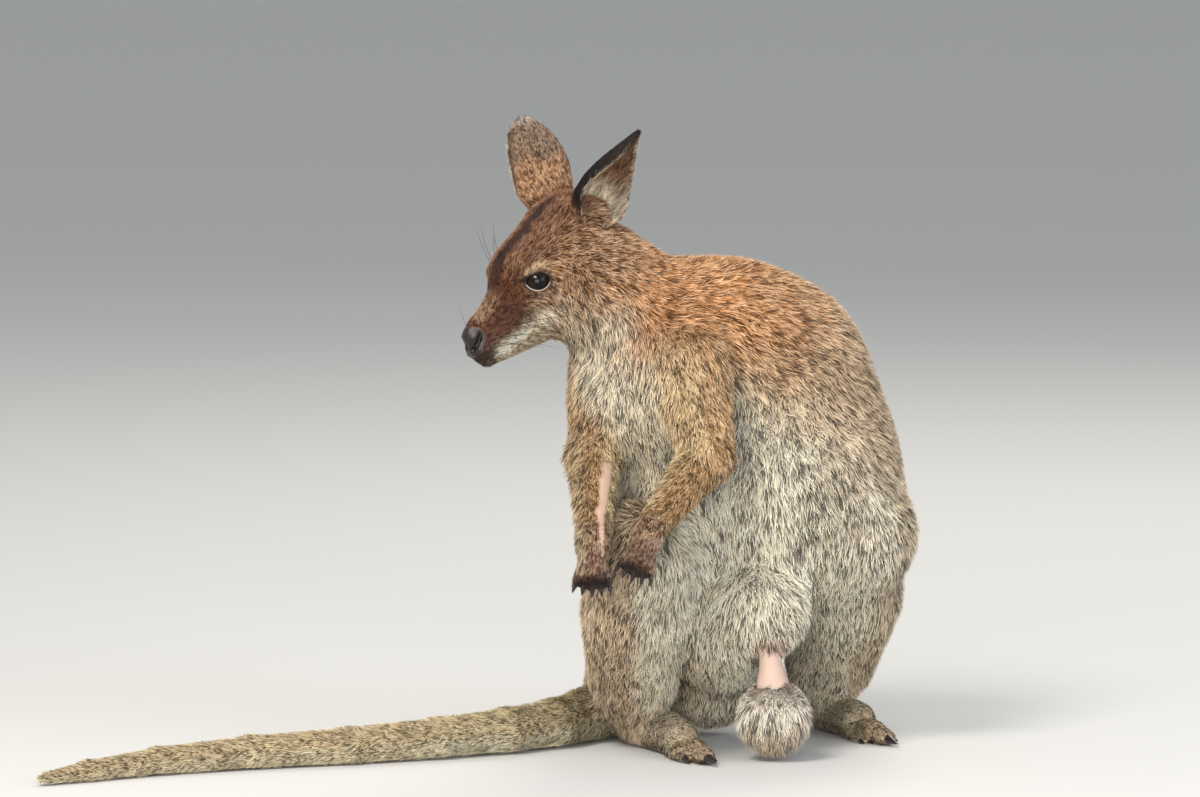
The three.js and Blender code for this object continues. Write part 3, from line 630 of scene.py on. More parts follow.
@contextmanager
def editing(piece: bpy.types.Object) -> Iterator[None]:
    """Opens one object in edit mode for what is done inside.

    Args:
        piece: the object.

    Returns:
        A context that closes edit mode again.
    """
    activate(piece)
    bpy.ops.object.mode_set(mode="EDIT")
    yield
    bpy.ops.object.mode_set(mode="OBJECT")


@contextmanager
def faces_selected(piece: bpy.types.Object, chosen: Array) -> Iterator[None]:
    """Opens one object in edit mode with only some of its faces selected.

    Args:
        piece: the object.
        chosen: whether each face is selected.

    Returns:
        A context that closes edit mode again.
    """
    with editing(piece):
        bpy.ops.mesh.select_all(action="DESELECT")
    piece.data.polygons.foreach_set("select", chosen)
    with editing(piece):
        bpy.ops.mesh.select_mode(type="FACE")
        yield


def join(pieces: list[bpy.types.Object]) -> bpy.types.Object:
    """Joins objects into the first of them.

    Args:
        pieces: the objects.

    Returns:
        The joined object.
    """
    deselect()
    for piece in pieces:
        piece.select_set(True)
    bpy.context.view_layer.objects.active = pieces[0]
    bpy.ops.object.join()
    return bpy.context.object


def read(items: bpy.types.bpy_prop_collection, key: str, width: int, kind: type = np.float32) -> Array:
    """Reads one property of each item of a mesh.

    Args:
        items: the mesh's points, faces or corners.
        key: the property's name.
        width: how many numbers it has.
        kind: their type.

    Returns:
        One row for each item.
    """
    flat = np.empty(width * len(items), kind)
    items.foreach_get(key, flat)
    return flat.reshape(-1, width)


def coordinates(mesh: bpy.types.Mesh) -> Array:
    """A mesh's points, one to a row."""
    return read(mesh.vertices, "co", 3).astype(float)


def set_coordinates(mesh: bpy.types.Mesh, points: Array) -> None:
    """Moves a mesh's points."""
    mesh.vertices.foreach_set("co", points.astype(np.float32).ravel())
    mesh.update()


def vertex_normals(mesh: bpy.types.Mesh) -> Array:
    """A mesh's smooth normals, one for each point."""
    return read(mesh.vertices, "normal", 3).astype(float)


def mesh_object(name: str, points: Array, faces: Array) -> bpy.types.Object:
    """Makes an object from points and faces that all have the same number of corners.

    Args:
        name: the object's name.
        points: its points.
        faces: the points of each face, in order.

    Returns:
        The new object, smooth shaded.
    """
    mesh = bpy.data.meshes.new(name)
    count, corners = faces.shape
    mesh.vertices.add(len(points))
    mesh.vertices.foreach_set("co", points.astype(np.float32).ravel())
    mesh.loops.add(count * corners)
    mesh.loops.foreach_set("vertex_index", faces.astype(np.int32).ravel())
    mesh.polygons.add(count)
    starts = np.arange(0, count * corners, corners, dtype=np.int32)
    mesh.polygons.foreach_set("loop_start", starts)
    mesh.polygons.foreach_set("use_smooth", np.ones(count, bool))
    mesh.update(calc_edges=True)
    piece = bpy.data.objects.new(name, mesh)
    bpy.context.scene.collection.objects.link(piece)
    return piece


def set_colours(mesh: bpy.types.Mesh, name: str, colours: Array) -> None:
    """Stores a linear colour for each point of a mesh.

    Args:
        mesh: the mesh.
        name: the attribute's name.
        colours: red, green and blue, one row to a point.
    """
    layer = mesh.color_attributes.new(name, "FLOAT_COLOR", "POINT")
    rgba = np.concatenate([np.clip(colours, 0, 1), np.ones((len(colours), 1))], axis=1)
    layer.data.foreach_set("color", rgba.astype(np.float32).ravel())


def set_values(mesh: bpy.types.Mesh, name: str, values: Array) -> None:
    """Stores a number for each point of a mesh."""
    layer = mesh.attributes.get(name) or mesh.attributes.new(name, "FLOAT", "POINT")
    layer.data.foreach_set("value", values.astype(np.float32))


def get_values(mesh: bpy.types.Mesh, name: str) -> Array:
    """Reads a number for each point of a mesh, or zeros.

    Args:
        mesh: the mesh.
        name: the attribute's name.

    Returns:
        One number for each point.
    """
    values = np.zeros(len(mesh.vertices), np.float32)
    if mesh.attributes.get(name):
        mesh.attributes[name].data.foreach_get("value", values)
    return values.astype(float)


def segment_distance(points: Array, a: Array, b: Array) -> Array:
    """Distance of points from the straight line between a and b.

    Args:
        points: points, one to a row.
        a: one end of the line.
        b: its other end.

    Returns:
        One distance for each.
    """
    ab = b - a
    t = np.clip((points - a) @ ab / (ab @ ab), 0, 1)
    return np.linalg.norm(points - a - t[:, None] * ab, axis=1)


def path_distance(points: Array, path: list[Array]) -> Array:
    """Distance of points from a path of straight lines."""
    return np.min([segment_distance(points, a, b) for a, b in zip(path, path[1:])], axis=0)


def tube(path: Array, radii: Array, sides: int, closed: bool = False) -> tuple[Array, Array]:
    """Points and four-cornered faces of a round tube along a path.

    Args:
        path: the middle line's points.
        radii: the radius at each of them.
        sides: corners of each ring.
        closed: whether the last ring joins the first. Otherwise both ends should come to a point.

    Returns:
        The points and the faces.
    """
    count = len(path)
    ahead = np.roll(path, -1, 0) if closed else np.concatenate([path[1:], path[-1:]])
    behind = np.roll(path, 1, 0) if closed else np.concatenate([path[:1], path[:-1]])
    along = unit(ahead - behind)
    across = unit(np.cross(along, vec(0.23, 0.41, 0.88)))
    over = np.cross(along, across)
    turn = 2 * math.pi * np.arange(sides) / sides
    ring = np.cos(turn)[:, None] * across[:, None] + np.sin(turn)[:, None] * over[:, None]
    points = (path[:, None] + ring * radii[:, None, None]).reshape(-1, 3)
    lengths = count if closed else count - 1
    i, k = np.meshgrid(np.arange(lengths), np.arange(sides), indexing="ij")
    j, m = (i + 1) % count, (k + 1) % sides
    faces = np.stack([i * sides + k, i * sides + m, j * sides + m, j * sides + k], -1).reshape(-1, 4)
    return points, faces


# ---------------------------------------------------------------- coat
class Group(Enum):
    """The pieces of coat, each with its name and the name of a material slot."""

    FACE = ("face", "head_coat")
    CROWN = ("crown", "head_coat")
    NECK = ("neck", "neck_coat")
    CHEST = ("chest", "neck_coat")
    BACK = ("back", "back_coat")
    BELLY = ("belly", "belly_coat")
    RUMP = ("rump", "back_coat")
    THIGH_RIGHT = ("thigh_right", "limb_coat")
    THIGH_LEFT = ("thigh_left", "limb_coat")
    ARMS = ("arms", "limb_coat")
    TAIL = ("tail", "tail_coat")
    EARS = ("ears", "ear")

    @property
    def word(self) -> str:
        """The piece's name."""
        return self.value[0]

    @property
    def slot(self) -> str:
        """The name of the material slot listed for the piece."""
        return self.value[1]


@dataclass(frozen=True)
class Region:
    """A stretch of the body with one kind of coat."""

    group: Group
    path: list[Array]
    reach: float  # how far from its path the region holds
    length: float  # of a tuft
    depth: float  # from the skin to the tips of the coat
    width: float  # of a tuft
    upper: str  # its colour
    under: str = ""  # its colour where the body faces under_way
    under_way: Array = field(default_factory=lambda: vec(0, 0, -1))
    under_from: float = 0.3  # how squarely the body has to face that way, from -1 to 1
    flow: Array | None = None  # which way the coat grows, if that isn't along the path


def regions() -> list[Region]:
    """Every stretch of coat, from the nose to the tail.

    Returns:
        The regions.
    """
    at, J = HEAD.at, JOINTS
    back = -HEAD.forward
    found = [
        Region(Group.FACE, [at(72, 0, -14), at(40, 0, -8)], 14, 3.4, 1.3, 0.75, "6e432c", "b9a78f",
               -HEAD.up, 0.35, back),
        Region(Group.FACE, [at(40, 0, -6), at(12, 0, 6)], 22, 4.6, 1.9, 0.85, "6c4128", "8c745a",
               -HEAD.up, 0.6, back),
        Region(Group.FACE, [at(62, 0, -42), at(10, 0, -46)], 16, 5.5, 2.0, 0.85, "a8977d", "978870",
               -HEAD.up, 0.7, back),
        Region(Group.CROWN, [at(8, 0, 14), at(-60, 0, 18)], 28, 6.0, 2.8, 0.95, "754a2f", flow=back),
        Region(Group.CROWN, [at(-20, 0, -44), at(-44, 0, -40)], 30, 7.0, 3.2, 1.0, "846d55", flow=back),
        Region(Group.NECK, [J["neckTop"], J["neckBase"]], 56, 10, 5, 1.3, "8f6544", "a8987c",
               vec(-0.75, -0.3, -0.6), 0.75),
        Region(Group.NECK, [J["neckBase"], J["withers"], vec(0, 34, 366)], 60, 11, 5.5, 1.4, "c48f58", "b78f64",
               vec(0, -1, 0), 0.5),
        Region(Group.CHEST, [vec(-112, -46, 366), vec(-108, -50, 320), vec(-84, -40, 262)], 46, 14, 6.5, 1.3,
               "cbc2ad", flow=vec(0.1, -0.1, -1)),
        Region(Group.BACK, [vec(0, 40, 356), J["ribs"], J["loin"]], 84, 12, 5.5, 1.5, "ae8f6e", "b39777",
               vec(-0.4, -0.8, -0.4), 0.5),
        Region(Group.BACK, [J["loin"], vec(44, 78, 236)], 92, 12, 5.5, 1.5, "a3907a", "dcd4bf",
               vec(-0.35, -0.85, -0.4), 0.66),
        Region(Group.BELLY, [vec(-40, 4, 268), vec(0, 0, 232), vec(0, -10, 170)], 84, 15, 6.5, 1.6, "e0d8c4",
               "e6dfcb", vec(0, -1, 0), 0.1, vec(0.1, 0, -1)),
        Region(Group.RUMP, [vec(44, 78, 236), J["pelvis"], vec(-50, 140, 110)], 92, 13, 6, 1.6, "ab9a84", "d6cdb8",
               vec(-0.1, -0.95, -0.2), 0.45, vec(-0.1, 0.1, -1)),
        Region(Group.THIGH_RIGHT, [J["rHip"], J["rKnee"]], 66, 13, 6, 1.5, "b09b80", "dbd3bf",
               vec(0.95, -0.1, -0.2), 0.15, vec(-0.25, 0.0, -1)),
        Region(Group.THIGH_RIGHT, [J["rKnee"], J["rAnkle"]], 44, 11, 5, 1.4, "a8937a", "d3cab5",
               vec(0.95, -0.1, -0.1), 0.2, vec(-0.1, 0.05, -1)),
        Region(Group.THIGH_LEFT, [J["lHip"], J["lKnee"]], 66, 13, 6, 1.5, "b8aa93", "dfd8c5",
               vec(-0.55, -0.8, -0.1), 0.15, vec(-0.1, 0.0, -1)),
        Region(Group.THIGH_LEFT, [J["lKnee"], J["lAnkle"]], 44, 11, 5, 1.4, "b0a087", "d3cab5",
               vec(-0.75, -0.6, 0), 0.2, vec(-0.1, 0.1, -1)),
        Region(Group.TAIL, [TAIL[1][0], TAIL[2][0], TAIL[3][0]], 52, 11, 5, 1.4, "c2b294", "dbd0b6",
               vec(0, -0.7, -0.7), 0.3),
        Region(Group.TAIL, [point for point, _ in TAIL[3:8]], 26, 8, 3.4, 1.2, "cbb992", "d8cdb0",
               vec(0, -0.4, -0.9), 0.3),
        Region(Group.TAIL, [point for point, _ in TAIL[7:]], 17, 7, 2.8, 1.1, "c3b08a", "d0c2a0",
               vec(0, -0.4, -0.9), 0.3),
        Region(Group.BELLY, [vec(23, -84, 80), vec(24, -88, 30)], 24, 15, 5, 1.3, "b5a592", flow=vec(0, 0, -1)),
    ]
    for side, outer in ((Side.RIGHT, vec(-1, 0, 0)), (Side.LEFT, vec(0.4, 0.2, 0))):
        shoulder, elbow, wrist, hand = (side.joint(name) for name in ("Shoulder", "Elbow", "Wrist", "Hand"))
        heel, ball = side.joint("Heel"), side.joint("Ball")
        toe = ball + unit((ball - heel) * vec(1, 1, 0)) * 66
        low = wrist + (elbow - wrist) * 0.25
        found += [
            Region(Group.ARMS, [shoulder, elbow], 38, 11, 5, 1.3, "b68f62", "c4a77c", -outer, 0.2),
            Region(Group.ARMS, [elbow, low], 22, 9.5, 4, 1.2, "bb9160", "d2bb8e", -outer, 0.6),
            Region(Group.ARMS, [low, wrist], 15, 7, 2.6, 1.0, "8a674a"),
            Region(Group.ARMS, [wrist, hand], 14, 4.0, 1.2, 0.8, "7b5947"),
            Region(Group[f"THIGH_{side.name}"], [heel, ball], 20, 6, 2.2, 1.1, "d8c9af", "9d8c77",
                   vec(0, 0, -1), 0.2),
            Region(Group[f"THIGH_{side.name}"], [ball, toe], 13, 4, 1.4, 0.9, "bfa98d", "6d5a4a",
                   vec(0, 0, -1), 0.2),
        ]
    return found


@dataclass
class CoatMap:
    """What the coat is like at a set of points."""

    flow: Array
    length: Array
    depth: Array
    width: Array
    colour: Array
    group: Array
    cover: Array  # from 0 where the skin is bare to 1

    SHARPNESS = 7  # how quickly one region gives way to the next
    UNDER_FADE = 0.22  # half the width of the change from the upper colour to the under one

    @classmethod
    def read(cls, points: Array, normals: Array | None = None) -> CoatMap:
        """Blends the regions at points of the body.

        Args:
            points: places on the body, in millimetres.
            normals: which way the body faces there, for colours.

        Returns:
            The coat there, before its markings.
        """
        count = len(points)
        totals = np.zeros(count)
        flow, colour = np.zeros((count, 3)), np.zeros((count, 3))
        length, depth, width = np.zeros(count), np.zeros(count), np.zeros(count)
        best, group = np.zeros(count), np.zeros(count, int)
        order = list(Group)
        for region in regions():
            pairs = list(zip(region.path, region.path[1:]))
            gaps = np.array([segment_distance(points, a, b) for a, b in pairs])
            nearest = gaps.argmin(0)
            weight = 1 / (0.02 + (gaps.min(0) / region.reach) ** cls.SHARPNESS)
            along = [b - a if region.flow is None else region.flow for a, b in pairs]
            ways = np.array([unit(way) for way in along])
            flow += weight[:, None] * ways[nearest]
            tint = np.tile(linear(region.upper), (count, 1))
            if region.under and normals is not None:
                facing = normals @ unit(region.under_way) + 0.12 * NOISE(points, 16)
                start = region.under_from
                share = ramp(start - cls.UNDER_FADE, start + cls.UNDER_FADE, facing)
                tint = mix(tint, linear(region.under), share[:, None])
            colour += weight[:, None] * tint
            length += weight * region.length
            depth += weight * region.depth
            width += weight * region.width
            totals += weight
            ahead = weight > best
            best[ahead], group[ahead] = weight[ahead], order.index(region.group)
        return cls(
            flow=unit(flow), length=length / totals, depth=depth / totals, width=width / totals,
            colour=colour / totals[:, None], group=group, cover=np.ones(count),
        )


class Markings:
    """The colours of the face, ears, hands and bare skin, laid over the blended coat."""

    # Lines on the left half of the head: forward, left and up of the middle of the eyes.
    NOSTRIL = [vec(79, 5, -22), vec(75, 8.5, -18.5), vec(70.5, 11, -15), vec(69, 11.5, -11.5)]
    LIPS = [vec(84, 0, -30), vec(78, 6, -33), vec(68, 10, -37.5), vec(50, 14, -43), vec(30, 19, -46)]
    CHEEK = [vec(70, 8, -35), vec(46, 15, -36), vec(28, 20, -35), vec(8, 26, -32)]
    # Under, over and behind the eye: colour, line, where it starts to fade and ends, and strength.
    ROUND_EYE = [
        ("a57c5b", [vec(16, 26, -14), vec(-2, 31, -16)], 3, 9, 0.7),
        ("cfb089", [vec(10, 26, 11.5), vec(-1, 29, 14.5), vec(-12, 31, 11)], 1.0, 5, 0.75),
        ("b98a61", [vec(-16, 31, 2), vec(-26, 33, -6)], 3, 11, 0.6),
    ]

    def apply(self, coat: CoatMap, points: Array, normals: Array) -> None:
        """Changes the colours and cover of a coat where the animal is marked.

        Args:
            coat: the coat at the points.
            points: places on the body, in millimetres.
            normals: which way the body faces there.
        """
        local = HEAD.local(points)
        facing = normals @ HEAD.axes.T
        near_head = (local[:, 0] > -100) & (np.abs(local[:, 1:]) < vec(60, 70)).all(1)
        self._face(coat, local, facing, near_head)
        self._eyes(coat, points, near_head)
        self._body(coat, points, normals)

    @staticmethod
    def _paint(coat: CoatMap, colour: str, share: Array) -> None:
        """Mixes a colour into the coat."""
        coat.colour[:] = mix(coat.colour, linear(colour), np.clip(share, 0, 1)[:, None])

    def _patch(
        self, coat: CoatMap, points: Array, near: Array, colour: str, path: list[Array],
        low: float, high: float, strength: float,
    ) -> None:
        """Paints a soft-edged stripe along a line.

        Args:
            coat: the coat to mark.
            points: where it is, on the line's axes.
            near: whether each point may be painted.
            colour: the stripe's colour.
            path: the line.
            low: the distance from the line where the stripe starts to fade.
            high: the distance where it ends.
            strength: how much of the colour the stripe has at its middle.
        """
        fade = 1 - ramp(low, high, path_distance(points, path))
        self._paint(coat, colour, near * fade * strength)

    def _face(self, coat: CoatMap, local: Array, facing: Array, near: Array) -> None:
        """The midline stripe, the cheek stripe, the lips with painted shade along the mouth, and the nose with
        painted shade in its nostrils.

        Args:
            coat: the coat to mark.
            local: its points on the head's axes.
            facing: which way it faces, on the same axes.
            near: whether each point is on the head.
        """
        mirrored = HEAD.mirrored(local)
        f, side, u = mirrored.T
        speckle = NOISE(local, 3.0)
        midline = (1 - ramp(3, 8, side + 2.5 * speckle)) * ramp(0.1, 0.5, facing[:, 2]) * ramp(-85, -50, f)
        self._paint(coat, "2c1812", near * midline * (1 - ramp(40, 66, f)) * 0.9)
        snout = ramp(6, 34, f) * ramp(-30, -22, u + 3 * speckle)
        self._paint(coat, "4f2a1a", near * snout * 0.7)
        bridge = ramp(28, 46, f) * (1 - ramp(60, 70, f)) * ramp(0.35, 0.8, facing[:, 2])
        self._paint(coat, "9a7150", near * bridge * 0.45)
        self._paint(coat, "8c7a63", near * ramp(-30, 0, f) * (1 - ramp(-46, -40, u + 2 * speckle)) * 0.6)
        stripe = path_distance(mirrored, self.CHEEK)
        stripe = (1 - ramp(5.0, 10.5, stripe + 1.8 * speckle)) * ramp(-6, 20, f)
        self._paint(coat, "e6ddcc", near * stripe * 0.97)
        self._patch(coat, mirrored, near, "d3c6b0", [vec(8, 27, -29), vec(-10, 32, -24)], 3, 13, 0.4)
        chin = ramp(61, 69, f + speckle) * (1 - ramp(-28, -22, u + speckle))
        self._paint(coat, "3b2015", near * chin * 0.95)
        for colour, path, low, high, strength in self.ROUND_EYE:
            self._patch(coat, mirrored, near, colour, path, low, high, strength)
        # Dark along the line of the lips: partly the black skin of the lips, strongest at the front, partly
        # painted shade in the slit between them.
        mouth = self.mouth_gap(mirrored)
        self._paint(coat, "1d110e", near * (1 - ramp(0.9, 2.2, mouth)) * (0.35 + 0.6 * ramp(48, 58, f)))
        coat.cover[near & (mouth < 1.0) & (f > 56)] = 0
        pad = self.nose_share(mirrored)
        self._paint(coat, "201918", near * pad)
        self._paint(coat, "1b1718", near * pad * (1 - ramp(-17, -12, u)))
        # The nostrils are painted near black: painted shade inside their openings.
        nostril = path_distance(mirrored, self.NOSTRIL)
        self._paint(coat, "030202", near * (1 - ramp(1.8, 3.2, nostril)))
        coat.cover[near & ((pad > 0.35) | (nostril < 3.0))] = 0

    @staticmethod
    def mouth_gap(mirrored: Array) -> Array:
        """Distance from the line between the lips."""
        return path_distance(mirrored, Markings.LIPS)

    @staticmethod
    def nose_share(mirrored: Array) -> Array:
        """From 0 on the coat to 1 on the bare black pad of the nose.

        Args:
            mirrored: points on the head's axes, all on the left half.

        Returns:
            One share for each.
        """
        f, side, u = mirrored.T
        pad = ramp(63.5, 66, f) * ramp(47.5, 50.5, 0.655 * f - 0.887 * u)
        pad *= ramp(-26.5, -24, u + 0.25 * (f - 70))
        pad *= 1 - ramp(11, 13.5, side)
        cleft = ramp(74, 76, f) * ramp(-33, -30, u) * (1 - ramp(2, 5, side))
        return np.clip(pad + cleft, 0, 1)

    def _eyes(self, coat: CoatMap, points: Array, near: Array) -> None:
        """Dark lids, and no coat over the opening.

        Args:
            coat: the coat to mark.
            points: places on the body, in millimetres.
            near: whether each point is on the head.
        """
        for side in Side:
            gap = np.full(len(points), 9.0)
            gap[near] = Eye(side).opening(points[near])
            close = near & (np.linalg.norm(points - HEAD.eye(side), axis=1) < 24)
            self._paint(coat, "150e0d", close * (1 - ramp(0.06, 0.15, gap)))
            coat.cover[close & (gap < 0.09)] = 0
            coat.length[close] *= 0.45 + 0.55 * ramp(0.2, 1.1, gap[close])
            coat.width[close] *= 0.7 + 0.3 * ramp(0.2, 1.1, gap[close])

    def _body(self, coat: CoatMap, points: Array, normals: Array) -> None:
        """Rufous shoulders, pale flank with painted shade between its fur folds, dark hands and bare soles.

        Args:
            coat: the coat to mark.
            points: places on the body, in millimetres.
            normals: which way the body faces there.
        """
        x, _, z = points.T
        grain = NOISE(points, 22)
        shoulder = path_distance(points, [vec(-70, -30, 402), vec(-30, 0, 396), vec(5, 20, 384)])
        rufous = (1 - ramp(28, 84, shoulder + 9 * grain)) * ramp(-0.7, 0.2, normals[:, 2])
        self._paint(coat, "c27f43", rufous * 0.75)
        flank = path_distance(points, [vec(10, -50, 262), vec(60, -40, 230), vec(84, -30, 190)])
        self._paint(coat, "ddd6c4", (1 - ramp(20, 62, flank + 10 * grain)) * 0.75)
        mottle = ramp(0.1, 0.55, NOISE(points, 17)) * ramp(30, 70, x)
        mottle *= (1 - ramp(250, 280, z)) * ramp(130, 170, z)
        self._paint(coat, "8f8575", mottle * (normals[:, 1] < 0.2) * 0.55)
        # Painted shade: dark diagonal stripes across the flank stand for the shadows in the gaps between fur
        # folds, which have no relief.
        fold = np.sin((z - 0.5 * x) / 3.4 + 2.2 * NOISE(points, 14) + 2.0 * NOISE(points, 40))
        fold = ramp(0.1, 0.8, fold) * ramp(28, 50, x) * (1 - ramp(96, 122, x)) * ramp(176, 200, z)
        fold *= (1 - ramp(252, 276, z)) * (normals[:, 1] < 0.1)
        self._paint(coat, "6c6152", fold * 0.7)
        self._sack(coat, points)
        self._forearm(coat, points, normals)
        for side in Side:
            down, across, palmward = FINGERS.axes(side)
            q = points - side.joint("Wrist")
            mine = np.hypot(q @ across / 22, q @ palmward / 18) < 1
            beyond = np.where(mine & (q @ down < 64), q @ down, Skin.ELSEWHERE)
            self._paint(coat, "553a2e", ramp(6, 22, beyond + 4 * grain) * 0.4)
            self._paint(coat, "110c0b", ramp(27, 38, beyond + 3 * grain) * 0.96)
            coat.cover[beyond > 38] = 0
        coat.cover[(z < 5) & (normals[:, 2] < -0.75)] = 0

    def _sack(self, coat: CoatMap, points: Array) -> None:
        """The scrotum: a bare stalk, pale short hair below it, and long grizzled hair.

        Args:
            coat: the coat to mark.
            points: places on the body, in millimetres.
        """
        z = points[:, 2] + 5 * NOISE(points, 9)
        sack = np.linalg.norm(points - SACK, axis=1) < 56
        stalk = segment_distance(points, vec(21, -70, 100), vec(23, -84, 74)) < 19
        self._paint(coat, "ece3d5", sack * ramp(24, 50, z) * 0.9)
        high = (sack | stalk) * ramp(60, 74, z)
        self._paint(coat, "a38d81", high * 0.95)
        coat.length[sack] *= (1 - 0.8 * ramp(40, 64, z))[sack]
        coat.cover[(sack | stalk) & (z > 72) & (points[:, 2] < 100)] = 0

    def _forearm(self, coat: CoatMap, points: Array, normals: Array) -> None:
        """The right forearm's bare strip, and the pale fringe along its outer side.

        Args:
            coat: the coat to mark.
            points: places on the body, in millimetres.
            normals: which way the body faces there.
        """
        mine = segment_distance(points, JOINTS["rElbow"], JOINTS["rWrist"]) < 30
        flat = vec(1, 0, 1)
        strip = path_distance(points * flat, [vec(-124, 0, 268), vec(-130, 0, 230), vec(-128, 0, 196)])
        half = 1.5 + 3.0 * ramp(196, 262, points[:, 2])
        strip = mine & (strip < half) & (normals[:, 1] < -0.15)
        self._paint(coat, "a88f80", strip * 0.95)
        coat.cover[strip] = 0
        outer = mine * ramp(0.25, 0.7, -normals[:, 0])
        self._paint(coat, "dccda8", outer * 0.4)
        coat.length *= 1 + 0.6 * outer
        coat.depth *= 1 + 0.5 * outer


# ---------------------------------------------------------------- eyes
@dataclass(frozen=True)
class Eye:
    """An eye: its ball, the almond opening between its lids, and their wet rims."""

    side: Side
    half_width: float = 1.06  # of the opening, in radians about the ball's centre
    half_height: float = 0.70
    almond: float = 0.2  # how much lower the opening is at its corners
    lid: float = 1.5  # thickness of the lids
    tilt: float = 29  # degrees from the head's forward axis up to the opening's long axis
    iris: float = 44  # degrees from the gaze to the rim of the iris
    pupil: float = 24
    cornea: float = 0.7  # how far the clear front stands out of the ball
    rim_radius: float = 0.42  # of the wet edge of the lids
    rim_points: int = 72

    GAZE = (0.36, 0.86, 0.36)  # forward, out to the side and up
    SIDES = 8  # of the rim's section

    def axes(self) -> Array:
        """Along the opening, across it and out of it.

        Returns:
            The three directions, one to a row.
        """
        sign = self.side.value
        ahead, aside, above = self.GAZE
        gaze = unit(HEAD.forward * ahead + HEAD.left * sign * aside + HEAD.up * above)
        tilt = math.radians(self.tilt)
        along = HEAD.forward * math.cos(tilt) + HEAD.up * math.sin(tilt)
        along = unit(along - gaze * (along @ gaze))
        across = np.cross(gaze, along)
        return np.array([along, across * np.sign(across @ HEAD.up), gaze])

    def opening(self, points: Array) -> Array:
        """How far points lie outside the opening: negative within it, 0 on its rim.

        Args:
            points: places on the body, in millimetres.

        Returns:
            One number for each, in half sizes of the opening.
        """
        ways = unit(points - HEAD.eye(self.side)) @ self.axes().T
        angle = np.arccos(np.clip(ways[:, 2], -1, 1))
        u, w = (ways[:, :2] * (angle / np.maximum(np.sin(angle), 1e-3))[:, None]).T
        u = u / self.half_width
        return np.hypot(u, w / (self.half_height * np.maximum(1 - self.almond * u**2, 0.4))) - 1

    def rim(self, count: int) -> tuple[Array, Array]:
        """Directions to points round the opening's rim, and how high each lies, from -1 to 1.

        Args:
            count: how many points.

        Returns:
            The directions and the heights.
        """
        turn = 2 * math.pi * np.arange(count) / count
        u = self.half_width * np.cos(turn)
        w = self.half_height * (1 - self.almond * np.cos(turn) ** 2) * np.sin(turn)
        angle = np.hypot(u, w)
        bend = np.sin(angle) / angle
        return np.stack([u * bend, w * bend, np.cos(angle)], 1) @ self.axes(), np.sin(turn)

    def lids(self, points: Array) -> Array:
        """Moves skin near the eye out to its lids, and skin in the opening behind the ball's front.

        Args:
            points: places on the body, in millimetres.

        Returns:
            The moved points.
        """
        centre = HEAD.eye(self.side)
        away = points - centre
        far = np.linalg.norm(away, axis=1)
        gap = self.opening(points)
        radius = HEAD.EYE_RADIUS
        fold = 0.7 * np.exp(-(((gap - 0.5) / 0.12) ** 2)) * (away @ self.axes()[1] > 0)
        over = radius + self.lid * (1 - 0.35 * ramp(0.1, 0.9, gap)) - fold
        inside = radius - 3.2
        lid = mix(inside, np.maximum(far, over), ramp(-0.10, 0.04, gap))
        near = (far < radius + 11) & (gap < 1.6)
        blend = 1 - ramp(1.0, 1.6, gap)
        wanted = np.where(near, mix(far, lid, blend), far)
        return centre + away * (wanted / np.maximum(far, 1e-6))[:, None]

    def build(self, place: Place) -> list[bpy.types.Object]:
        """Models the ball with its cornea, and the rim of the lids.

        Args:
            place: where the animal stands.

        Returns:
            The ball and the rim.
        """
        along, across, gaze = self.axes()
        bpy.ops.mesh.primitive_uv_sphere_add(segments=48, ring_count=32, radius=1)
        ball = bpy.context.object
        ball.name = ball.data.name = f"eyeball_{self.side.word}"
        unit_ball = coordinates(ball.data)
        angle = np.degrees(np.arccos(np.clip(unit_ball[:, 2], -1, 1)))
        bulge = self.cornea * (1 - ramp(0, self.iris, angle))
        over = across * np.sign(np.cross(along, across) @ gaze)
        turned = unit_ball @ np.array([along, over, gaze])
        shape = HEAD.eye(self.side) + turned * (HEAD.EYE_RADIUS + bulge)[:, None]
        set_values(ball.data, "angle", angle / 90)
        set_coordinates(ball.data, place.metres(shape))
        activate(ball)
        bpy.ops.object.shade_smooth()
        Finish.dress(ball, eye_finish(self))
        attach(ball, "root")
        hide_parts(f"eye_{self.side.word}")
        ways, high = self.rim(self.rim_points)
        path = HEAD.eye(self.side) + ways * (HEAD.EYE_RADIUS + 0.35)
        radii = np.full(self.rim_points, self.rim_radius)
        points, faces = tube(path, radii, self.SIDES, closed=True)
        rim = mesh_object(f"lid_rim_{self.side.word}", place.metres(points), faces)
        # The lower rim is painted pale: a painted highlight along the wet lower lid. The upper rim keeps the dark
        # skin.
        lower = 1 - ramp(-0.45, -0.15, np.repeat(high, self.SIDES))
        shade = mix(linear("120d0c"), linear("998e84"), lower[:, None])
        set_colours(rim.data, "coat", shade)
        close_winding(rim)
        Finish.dress(rim, WET_SKIN.material())
        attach(rim, "root")
        return [ball, rim]


def close_winding(piece: bpy.types.Object) -> None:
    """Turns all faces of a closed piece outwards.

    Args:
        piece: the object.
    """
    with editing(piece):
        bpy.ops.mesh.select_all(action="SELECT")
        bpy.ops.mesh.normals_make_consistent(inside=False)


# ---------------------------------------------------------------- finishes
def add_node(
    tree: bpy.types.NodeTree, kind: str, links: dict[str | int, object] | None = None, **settings: object
) -> bpy.types.Node:
    """Adds a node to a material.

    Args:
        tree: the material's tree.
        kind: the node's type.
        links: for each input, the socket that feeds it or the value that it has.
        **settings: the node's own properties.

    Returns:
        The node.
    """
    node = tree.nodes.new(kind)
    for key, value in settings.items():
        setattr(node, key, value)
    for key, value in (links or {}).items():
        if isinstance(value, bpy.types.NodeSocket):
            tree.links.new(value, node.inputs[key])
        else:
            node.inputs[key].default_value = value
    return node


